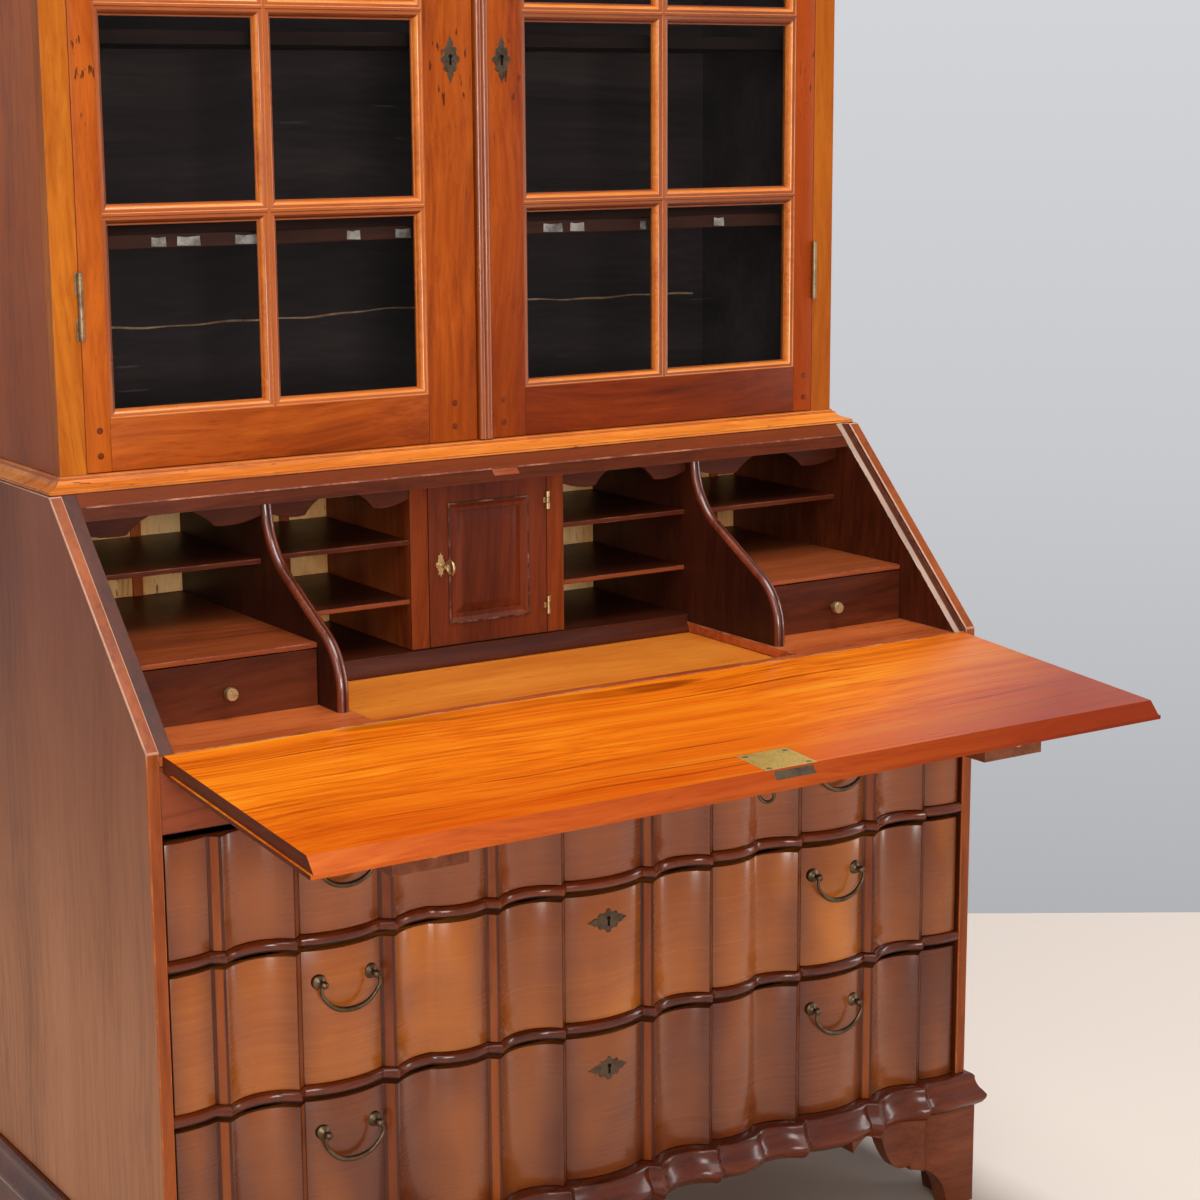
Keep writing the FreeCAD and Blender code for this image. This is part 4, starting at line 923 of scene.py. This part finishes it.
fittingSet = {
    "plateOut": 0.035,
    "plateHeight": 1.473,
    "plateSize": (0.056, 0.026, 0.0012),
    "holeProud": 0.0002,
    "hingeHeights": (1.207, 1.850),
    "hingeTall": 0.074,
    "hingeOut": 0.5036,
    "hingeDepth": 0.160812,
    "hingeRadius": 0.0031,
}
hingeShares = [  # lower half of a barrel, shares of its radius and height
    (0, -0.5), (0.6, -0.5), (0.7, -0.47), (1, -0.46), (1, -0.172), (0.86, -0.169), (0.86, -0.164),
    (1, -0.161)]


def makeDoorFittings(side, sign):
    body, title, front = "door_" + side, side.title(), doorSet["front"]
    spot = Vector((sign * fittingSet["plateOut"], 0, fittingSet["plateHeight"]))
    plate = keyPlate(spot, fittingSet["plateSize"], True, lambda x: front)
    piece = finishPiece("doorPlate" + title, plate, body, "plate")
    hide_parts("door_brasses_" + side)
    proud = fittingSet["plateSize"][2] * plateSet["proudShare"] + fittingSet["holeProud"]
    finishPiece("doorKeyhole" + title, keyhole(spot, front - proud), body, "keyhole")
    radius, tall = fittingSet["hingeRadius"], fittingSet["hingeTall"]
    profile = [(radius * out, tall * up) for out, up in hingeShares]
    profile += [(out, -up) for out, up in profile[::-1]]
    barrel = bmesh.new()
    for height in fittingSet["hingeHeights"]:
        place = Vector((sign * fittingSet["hingeOut"], fittingSet["hingeDepth"], height))
        addLathe(barrel, profile, place, 16, (0, 0, 1))
    finishPiece("hingeBarrels" + title, barrel, body, "steel")


# long drawers

drawerSet = {
    "sectionLift": 0.004,  # height of the plan cut above the lower edge, clear of the keyhole
    "sectionMerge": 0.0004,
    "arris": 0.0009,
    "facetWide": 0.012,  # flat strips are wider than this
    "facetCuts": (0.26, 0.82),
    "cornerAngle": 34,
    "endGap": 0.0018,
    "endReach": 0.0005,  # an end takes in what is this near to it
    "topGap": 0.0040,
    "seamShadeReach": 0.028,
    "seamShadeFall": 1.5,
    "bailOut": 0.339,
    "bailPitch": 0.064,
    "bailDrop": 0.034,
    "bailHeights": {"top": 0.630, "middle": 0.489, "bottom": 0.316},
    "plateHeights": {"top": 0.628, "middle": 0.491, "bottom": 0.310},
    "plateSize": (0.055, 0.029, 0.0014),
    "holeHalf": 0.006,
    "holeProud": 0.0003,
    "clearOfHole": 0.02,  # the face is read this far above a keyhole
}
postProfile = [  # radius and height over the face of a handle post on its rosette
    (0.0, 0.0178), (0.0026, 0.0172), (0.0044, 0.0152), (0.0047, 0.0132), (0.0040, 0.0110), (0.0024, 0.0092),
    (0.0021, 0.0064), (0.0034, 0.0048), (0.0052, 0.0043), (0.0072, 0.0031), (0.0080, 0.0026),
    (0.0086, 0.0012), (0.0087, -0.0020)]


def drawerPlan(level):  # plan outline of a shaped front, cut from the carried-over piece
    shape = copyNode("drawer_front_" + level)
    low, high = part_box("drawer_front_" + level)
    lift = drawerSet["sectionLift"]
    cutAcross(shape, wholeOf(shape), (0, 0, low.z + lift), (0, 0, 1), True)
    bmesh.ops.remove_doubles(shape, verts=shape.verts, dist=drawerSet["sectionMerge"])
    bmesh.ops.translate(shape, vec=(0, 0, -lift), verts=shape.verts)
    return shape, low, high


def riseOf(edge):
    return abs(edge.verts[0].co.z - edge.verts[1].co.z)


def makeDrawerFront(level):
    shape, low, high = drawerPlan(level)
    foot = bmesh.ops.contextual_create(shape, geom=shape.edges[:])["faces"]
    pushFaces(shape, foot[:1], (0, 0, high.z - low.z - drawerSet["topGap"]))
    bmesh.ops.recalc_face_normals(shape, faces=shape.faces)
    for face in shape.faces:
        # strips facing sideways take the facet finish, a painted highlight
        flat = max(edge.calc_length() for edge in face.edges if riseOf(edge) < 0.001)
        face.material_index = 1 if abs(face.normal.x) > 0.5 and flat > drawerSet["facetWide"] else 0
    for facet in [face for face in shape.faces if face.material_index == 1]:
        shadeFacet(shape, facet)
    for vert in shape.verts:  # a dark gap at both ends
        if abs(vert.co.x) > high.x - drawerSet["endReach"]:
            vert.co.x -= math.copysign(drawerSet["endGap"], vert.co.x)
    bend = math.radians(drawerSet["cornerAngle"])
    corners = [edge for edge in shape.edges if edge.calc_face_angle(0) > bend]
    seams = [edge.verts[0].co.x for edge in corners if riseOf(edge) > 0.01]
    roundEdges(shape, corners, drawerSet["arris"], look=2)
    markSeamShade(shape, seams)
    piece = finishPiece("shapedFront_" + level, shape, "drawer_" + level,
                        "drawer%s facet seam facetShade" % level.title(), 60)
    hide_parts("drawer_front_" + level)


def shadeFacet(shape, facet):  # painted shade along both sides of a flat strip
    left, right = min(vert.co.x for vert in facet.verts), max(vert.co.x for vert in facet.verts)
    cuts = [left + (right - left) * share for share in drawerSet["facetCuts"]]
    parts = [facet]
    for cut in cuts:
        edges = {edge for part in parts for edge in part.edges}
        corners = {vert for part in parts for vert in part.verts}
        made = cutAcross(shape, parts + list(edges) + list(corners), (cut, 0, 0), (1, 0, 0))
        parts = only(made, bmesh.types.BMFace)
    for part in parts:
        part.material_index = 1 if cuts[0] < part.calc_center_median().x < cuts[1] else 3


def markSeamShade(shape, seams):  # painted shade along the seams: 1 at a seam, fading over a short way
    layer = shape.verts.layers.float.new("grime")
    for vert in shape.verts:
        near = min(abs(vert.co.x - seam) for seam in seams)
        vert[layer] = max(0.0, 1 - near / drawerSet["seamShadeReach"]) ** drawerSet["seamShadeFall"]


def faceDepth(level, x, z):  # y of the shaped front at a place
    return surfaceAt("drawer_front_" + level, (x, -1, z), (0, 1, 0))[0].y


def makeHandles(level):
    height, half = drawerSet["bailHeights"][level], drawerSet["bailPitch"] / 2
    posts = bmesh.new()
    for side, sign in sides.items():
        for x in (sign * drawerSet["bailOut"] - half, sign * drawerSet["bailOut"] + half):
            addLathe(posts, postProfile, Vector((x, faceDepth(level, x, height), height)))
        makeBail(level, side, sign)
    piece = finishPiece("handlePosts_" + level, posts, "drawer_" + level, "brass")
    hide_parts("drawer_brasses_" + level)


def bailTube(centre, half, drop):  # round bar on a smooth route, thicker in the middle
    route = [(-half, 0.0, 1.7), (-half - 0.0035, -0.0035, 1.9), (-half - 0.0045, -0.010, 2.1),
             (-half * 0.93, -drop * 0.60, 2.4), (-half * 0.58, -drop * 0.90, 2.9), (0, -drop, 3.2)]
    route += [(-x, z, radius) for x, z, radius in route[-2::-1]]  # radius in millimetres
    curve = bpy.data.curves.new("bailRoute", "CURVE")
    curve.dimensions = "3D"
    curve.bevel_depth = 0.001
    curve.bevel_resolution = 3
    curve.use_fill_caps = True
    line = curve.splines.new("NURBS")
    line.points.add(len(route) - 1)
    for point, (x, z, radius) in zip(line.points, route):
        point.co = (centre.x + x, centre.y, centre.z + z, 1)
        point.radius = radius
    line.order_u = 4
    line.use_endpoint_u = True
    line.resolution_u = 6
    holder = bpy.data.objects.new("bailRoute", curve)
    bpy.context.scene.collection.objects.link(holder)
    shape = bmesh.new()
    shape.from_mesh(bpy.data.meshes.new_from_object(holder))
    bpy.data.objects.remove(holder)
    bmesh.ops.remove_doubles(shape, verts=shape.verts, dist=0.00001)
    return shape


def makeBail(level, side, sign):
    name = "bail_%s_%s" % (side, level)
    low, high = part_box(name)
    centre = Vector((sign * drawerSet["bailOut"], (low.y + high.y) / 2, drawerSet["bailHeights"][level]))
    shape = bailTube(centre, drawerSet["bailPitch"] / 2, drawerSet["bailDrop"])
    piece = finishPiece("bailGrip_%s_%s" % (side, level), shape, name, "brass")
    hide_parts(name)


def makeDrawerPlate(level):
    body, size = "drawer_" + level, drawerSet["plateSize"]
    middle = Vector((0, 0, drawerSet["plateHeights"][level]))
    height = middle.z + drawerSet["clearOfHole"]
    plate = keyPlate(middle, size, False, lambda x: faceDepth(level, x, height))
    finishPiece("keyholePlate_" + level, plate, body, "plate")
    half = drawerSet["holeHalf"]
    nearest = min(faceDepth(level, x, height) for x in (-half, 0, half))
    hole = keyhole(middle, nearest - size[2] * plateSet["proudShare"] - drawerSet["holeProud"])
    finishPiece("keyholeSlot_" + level, hole, body, "keyhole")


# desk interior

deskSet = {
    "backDepth": 0.369,  # front of the raw boards behind the pigeonholes
    "backThick": 0.008,
    "backSpans": ((-0.528, -0.307, 0.8385), (-0.293, -0.108, 0.777), (0.108, 0.293, 0.777),
                  (0.307, 0.528, 0.8385)),  # left, right and low
    "backTop": 0.988,
    "backJoint": 0.45,  # share of the width where two boards meet
    "backEdge": 0.0006,
    "battens": (-0.366, -0.168, 0.166, 0.392, 0.492),
    "battenWide": 0.013,
    "battenThick": 0.004,
    "battenSink": 0.001,
    "battenEdge": 0.0012,
    "lipRound": 0.0058,
    "lipReach": 0.30,  # forward part of a partition that is rounded
    "mouldOuter": (0.0570, 0.8035, 0.9525),  # half width, low and high of the small door's moulding
    "mouldWide": 0.0120,
    "doorFront": 0.151362,
    "slip": ((0.009, 0.989), (0.035, 0.011)),  # place and size, in x and z
    "line": ((0.003, 0.9925), (1.048, 0.0024)),
    "inlayProud": 0.00015,
    "inlayDeep": 0.002,
    "inlayEdge": 0.0001,
}
mouldProfile = [  # share of the width, and depth
    (0.0, 0.0006), (0.04, -0.0016), (0.20, -0.0018), (0.34, -0.0006), (0.52, 0.0012), (0.70, 0.0032),
    (0.88, 0.0032), (1.0, 0.0050), (0.5, 0.0056)]


def makeBacks():
    front, top, edge = deskSet["backDepth"], deskSet["backTop"], deskSet["backEdge"]
    boards = bmesh.new()
    for left, right, low in deskSet["backSpans"]:
        middle = left + (right - left) * deskSet["backJoint"]
        for first, last in ((left, middle - edge), (middle + edge, right)):
            addBlock(boards, (first, front, low), (last, front + deskSet["backThick"], top), edge)
    finishPiece("pigeonholeBacks", boards, "case", "pine")
    battens = bmesh.new()
    half, low = deskSet["battenWide"] / 2, deskSet["backSpans"][0][2]
    for x in deskSet["battens"]:
        addBlock(battens, (x - half, front - deskSet["battenThick"], low),
                 (x + half, front + deskSet["battenSink"], top), deskSet["battenEdge"])
    finishPiece("backBattens", battens, "case", "batten")


def makePartitions():  # the carried-over boards with their front edges rounded over
    shape = copyNode("curved_partitions")
    bmesh.ops.dissolve_limit(shape, angle_limit=math.radians(0.5), verts=shape.verts, edges=shape.edges)
    for face in shape.faces:
        face.material_index = 0
    rim = []
    for edge in shape.edges:
        ahead = [face for face in edge.link_faces if abs(face.normal.x) < 0.5 and face.normal.y < 0.2]
        forward = all(vert.co.y < deskSet["lipReach"] for vert in edge.verts)
        upright = all(abs(face.normal.z) < 0.97 for face in ahead)
        along = edge.verts[0].co - edge.verts[1].co
        sharp = edge.calc_face_angle(0) > math.radians(60)
        if ahead and forward and upright and sharp and abs(along.x) < 0.001:
            rim.append(edge)
    roundEdges(shape, rim, deskSet["lipRound"], 4, 1)
    piece = finishPiece("roundedPartitions", shape, "case", "partition lip", 50)
    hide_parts("curved_partitions")


def makeSmallDoorMoulding():
    half, low, high = deskSet["mouldOuter"]
    shape = bmesh.new()
    widths = [deskSet["mouldWide"]] * 4
    addMitredFrame(shape, (-half, low), (half, high), widths, mouldProfile, deskSet["doorFront"])
    bmesh.ops.recalc_face_normals(shape, faces=shape.faces)
    for face in shape.faces:  # dust and wear on the flat steps
        face.material_index = 1 if face.normal.y < -0.95 else 0
    finishPiece("panelMoulding", shape, "prospect_door", "prospect mouldEdge", 30)


def makeInlay(name, look, place, size):  # let into the sloping rail
    spot, facing = surfaceAt("interior_rail", (place[0], -1, place[1]), (0, 1, 0))
    shape = bmesh.new()
    addBlock(shape, (-size[0] / 2, -deskSet["inlayProud"], -size[1] / 2),
             (size[0] / 2, deskSet["inlayDeep"], size[1] / 2), deskSet["inlayEdge"])
    standOn(shape, shape.verts[:], spot, facing)
    finishPiece(name, shape, "case", look)


# flap lock screws

screwSet = {
    "radius": 0.0036,
    "high": 0.00016,
    "inset": 0.008,
    "frontInset": 0.0128,
    "slot": 0.0007,
    "slotDeep": 0.0003,
    "slotEdge": 0.00002,
}


def makeLockScrews():
    low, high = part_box("flap_lock")
    inset, radius, top, half = screwSet["inset"], screwSet["radius"], screwSet["high"], screwSet["slot"] / 2
    profile = [(0, top), (radius * 0.6, top * 0.9), (radius, top * 0.3), (radius, -0.0005)]
    shape = bmesh.new()
    for x in (low.x + inset, high.x - inset):
        for y in (low.y + screwSet["frontInset"], high.y - inset):
            spot, facing = surfaceAt("flap_lock", (x, y, 1), (0, 0, -1))
            before = set(shape.verts)
            addLathe(shape, profile, Vector((0, 0, 0)), 16)
            # the slot is a dark block: painted shade standing in for the cut groove
            addBlock(shape, (-radius * 0.8, -top * 1.2, -half), (radius * 0.8, screwSet["slotDeep"], half),
                     screwSet["slotEdge"], 1)
            standOn(shape, [vert for vert in shape.verts if vert not in before], spot, facing)
    finishPiece("lockScrews", shape, "flap", "knobBrass keyhole")


# inside the bookcase

bookSet = {
    "glintSpots": ((-0.387, 0.018), (-0.351, 0.028), (-0.283, 0.026), (-0.141, 0.018), (-0.076, 0.020),
               (0.136, 0.028), (0.171, 0.020), (0.263, 0.010), (0.389, 0.016)),  # place in x and width
    "glintLow": 1.2655,
    "glintHigh": 1.2765,
    "glintProud": 0.0003,
    "glintThick": 0.0005,
    "crackHeight": 1.157,
    "crackRise": 0.008,  # from left to right
    "crackBack": 0.4290,
    "crackDeep": 0.001,
    "crackThick": 0.0027,
    "crackSteps": 60,
    "crackWaves": ((0.0022, 9.1, 0.4), (0.0011, 31, 1.3), (0.0007, 83, 0)),  # height, pace and start
}


def makeShelfGlints():  # painted glints on the edge of the lowest shelf
    low, high = bookSet["glintLow"], bookSet["glintHigh"]
    shape = bmesh.new()
    for x, wide in bookSet["glintSpots"]:
        spots = [surfaceAt("cabinet_shelves", (x + end * wide / 2, 0, (low + high) / 2), (0, 1, 0))[0]
                 for end in (-1, 1)]
        left, right = (spot.y - bookSet["glintProud"] for spot in spots)
        outline = [(x - wide / 2, left, low + 0.0008), (x + wide / 2, right, low),
                   (x + wide * 0.46, right, high), (x - wide * 0.1, (left + right) / 2, high - 0.0012),
                   (x - wide * 0.48, left, high)]
        addPlate(shape, outline, bookSet["glintThick"])
    finishPiece("paintedShelfGlints", shape, "case", "shelfGlint")


def makeCrack():  # wavy gap between the upper back boards
    shape = bmesh.new()
    bmesh.ops.create_grid(shape, x_segments=bookSet["crackSteps"], y_segments=1, size=0.5)
    for vert in shape.verts:
        x, upper = vert.co.x, vert.co.y > 0
        wave = sum(high * math.sin(pace * x + start) for high, pace, start in bookSet["crackWaves"])
        z = bookSet["crackHeight"] + bookSet["crackRise"] * (x + 0.5) + wave
        half = bookSet["crackThick"] / 2 * (0.55 + 0.45 * math.sin(23 * x) ** 2)
        vert.co = (x, bookSet["crackBack"], z + half if upper else z - half)
    pushFaces(shape, shape.faces[:], (0, bookSet["crackDeep"], 0))
    finishPiece("backCrack", shape, "case", "crack")


# stage and light

stageSet = {
    "wallHigh": (211, 212, 216),
    "wallMiddle": (200, 201, 205),
    "wallLow": (175, 177, 180),
    "wallFoot": -0.32,  # view slope where the wall meets the floor
    "wallSpan": 0.36,
    "floor": (248, 234, 223),
    "floorCloud": (240, 225, 213),
    "floorBack": 1.40,  # far edge of the floor, from the object's middle along the view
    "floorReach": 9.0,
    "floorGlow": 0.50,
    "floorPaintedShadow": (168, 152, 140),  # painted shadow under the case
    "caseHalf": (0.55, 0.29),
    "caseMiddle": 0.14,
    "shadeSoft": 0.12,
    "skyLight": 0.30,
}
lamps = [  # name, place, aim, width, height, power, colour
    ("frontLamp", (-1.2, -3.4, 1.35), (0.0, 0.2, 0.95), 1.0, 1.0, 52, (1.0, 0.97, 0.94)),
    ("keyLamp", (-2.8, -3.0, 3.2), (0.0, -0.1, 0.8), 2.0, 2.0, 52, (1.0, 0.97, 0.93)),
    ("stripLamp", (3.5, -1.3, 1.3), (0.0, -0.1, 0.7), 0.5, 2.2, 26, (1.0, 0.98, 0.96)),
    ("topLamp", (0.1, -1.3, 4.2), (0.0, -0.1, 0.8), 2.2, 2.2, 94, (1.0, 0.98, 0.95)),
]


def seenRays(paint):  # 1 on rays that show the backdrop, to the eye or in gloss and glass
    seen = paint.node("ShaderNodeLightPath", output="Is Camera Ray")
    for kind in ("Is Glossy Ray", "Is Transmission Ray"):
        seen = seen.maths("MAXIMUM", paint.node("ShaderNodeLightPath", output=kind))
    return seen


def floorFinish():
    paint = Finish("paleFloor")
    cloud = paint.noise(paint.place(), 3, 4, 0.6)
    beside = paint.axis("X").maths("ABSOLUTE") - stageSet["caseHalf"][0]
    before = (paint.axis("Y") - stageSet["caseMiddle"]).maths("ABSOLUTE") - stageSet["caseHalf"][1]
    clear = beside.maths("MAXIMUM", before).over(0, stageSet["shadeSoft"])  # 0 under the case, where the shadow is painted
    colour = paint.mix(cloud * 0.3, tone(stageSet["floor"]), tone(stageSet["floorCloud"]))
    colour = paint.mix(clear, tone(stageSet["floorPaintedShadow"]), colour)
    matt = paint.node("ShaderNodeBsdfPrincipled", inputs={"Base Color": colour, "Roughness": 0.7})
    glow = paint.node("ShaderNodeEmission", inputs={"Color": tone(stageSet["floor"]), "Strength": 1.0})
    return paint.output(paint.blend(seenRays(paint) * clear * stageSet["floorGlow"], matt, glow))


def makeFloor():
    ahead = viewAxes()[2]
    flat = Vector((ahead.x, ahead.y, 0)).normalized()
    across = Vector((flat.y, -flat.x, 0))
    back, reach = stageSet["floorBack"], stageSet["floorReach"]
    shape = bmesh.new()
    corners = [flat * along + across * side for along, side in
               ((back, -reach), (back, reach), (-reach, reach), (-reach, -reach))]
    shape.faces.new([shape.verts.new(corner) for corner in corners])
    bmesh.ops.recalc_face_normals(shape, faces=shape.faces)
    floor = linkMesh("floor", shape, [floorFinish()])


def makeSky():
    world = bpy.data.worlds.new("sky")
    bpy.context.scene.world = world
    sky = Finish("sky", world)
    spot = sky.node("ShaderNodeTexCoord", output="Generated")
    height = sky.node("ShaderNodeSeparateXYZ", inputs={0: spot}, output="Z")
    wall = sky.ramp(height.over(stageSet["wallFoot"], stageSet["wallSpan"]),
                    [(0.0, stageSet["wallLow"]), (0.5, stageSet["wallMiddle"]), (1.0, stageSet["wallHigh"])])
    level = seenRays(sky) * (1 - stageSet["skyLight"]) + stageSet["skyLight"]
    light = sky.node("ShaderNodeBackground", inputs={"Color": wall, "Strength": level})
    sky.output(light, "ShaderNodeOutputWorld")


def makeLamps():
    for name, place, aim, width, height, power, colour in lamps:
        data = bpy.data.lights.new(name, "AREA")
        data.shape = "RECTANGLE"
        data.size, data.size_y = width, height
        data.energy = power
        data.color = colour
        lamp = bpy.data.objects.new(name, data)
        lamp.location = place
        lamp.rotation_mode = "QUATERNION"
        lamp.rotation_quaternion = (Vector(aim) - Vector(place)).to_track_quat("-Z", "Y")
        bpy.context.scene.collection.objects.link(lamp)


makeCamera()
print("camera set")

makeDoorFinishes()
makeCaseFinishes()
makeDeskFinishes()
makeDrawerFinishes()
makeEdgeFinishes()
makeMetalFinishes()
print("finishes made,", len(finishes))

dressCabinet()
dressCase()
dressDesk()
print("carried-over pieces dressed")

makeBacks()
makePartitions()
makeSmallDoorMoulding()
makeInlay("strikeSlip", "slip", *deskSet["slip"])
makeInlay("railLine", "railLine", *deskSet["line"])
makeLockScrews()
makeShelfGlints()
makeCrack()
print("desk interior and bookcase details made")

for side, sign in sides.items():
    plan = doorPlan(side)
    makeDoorFrame(side, plan)
    makeDoorBars(side, plan)
    makePanes(side, plan)
    makePegs(side, plan)
    if side == "right":
        makeReededStrip(plan)
    makeDoorFittings(side, sign)
print("doors made")

for level in levels:
    makeDrawerFront(level)
    makeHandles(level)
    makeDrawerPlate(level)
print("drawer fronts and handles made")

makeFloor()
makeSky()
makeLamps()
bpy.context.scene.view_settings.view_transform = "Standard"
print("stage and light set")
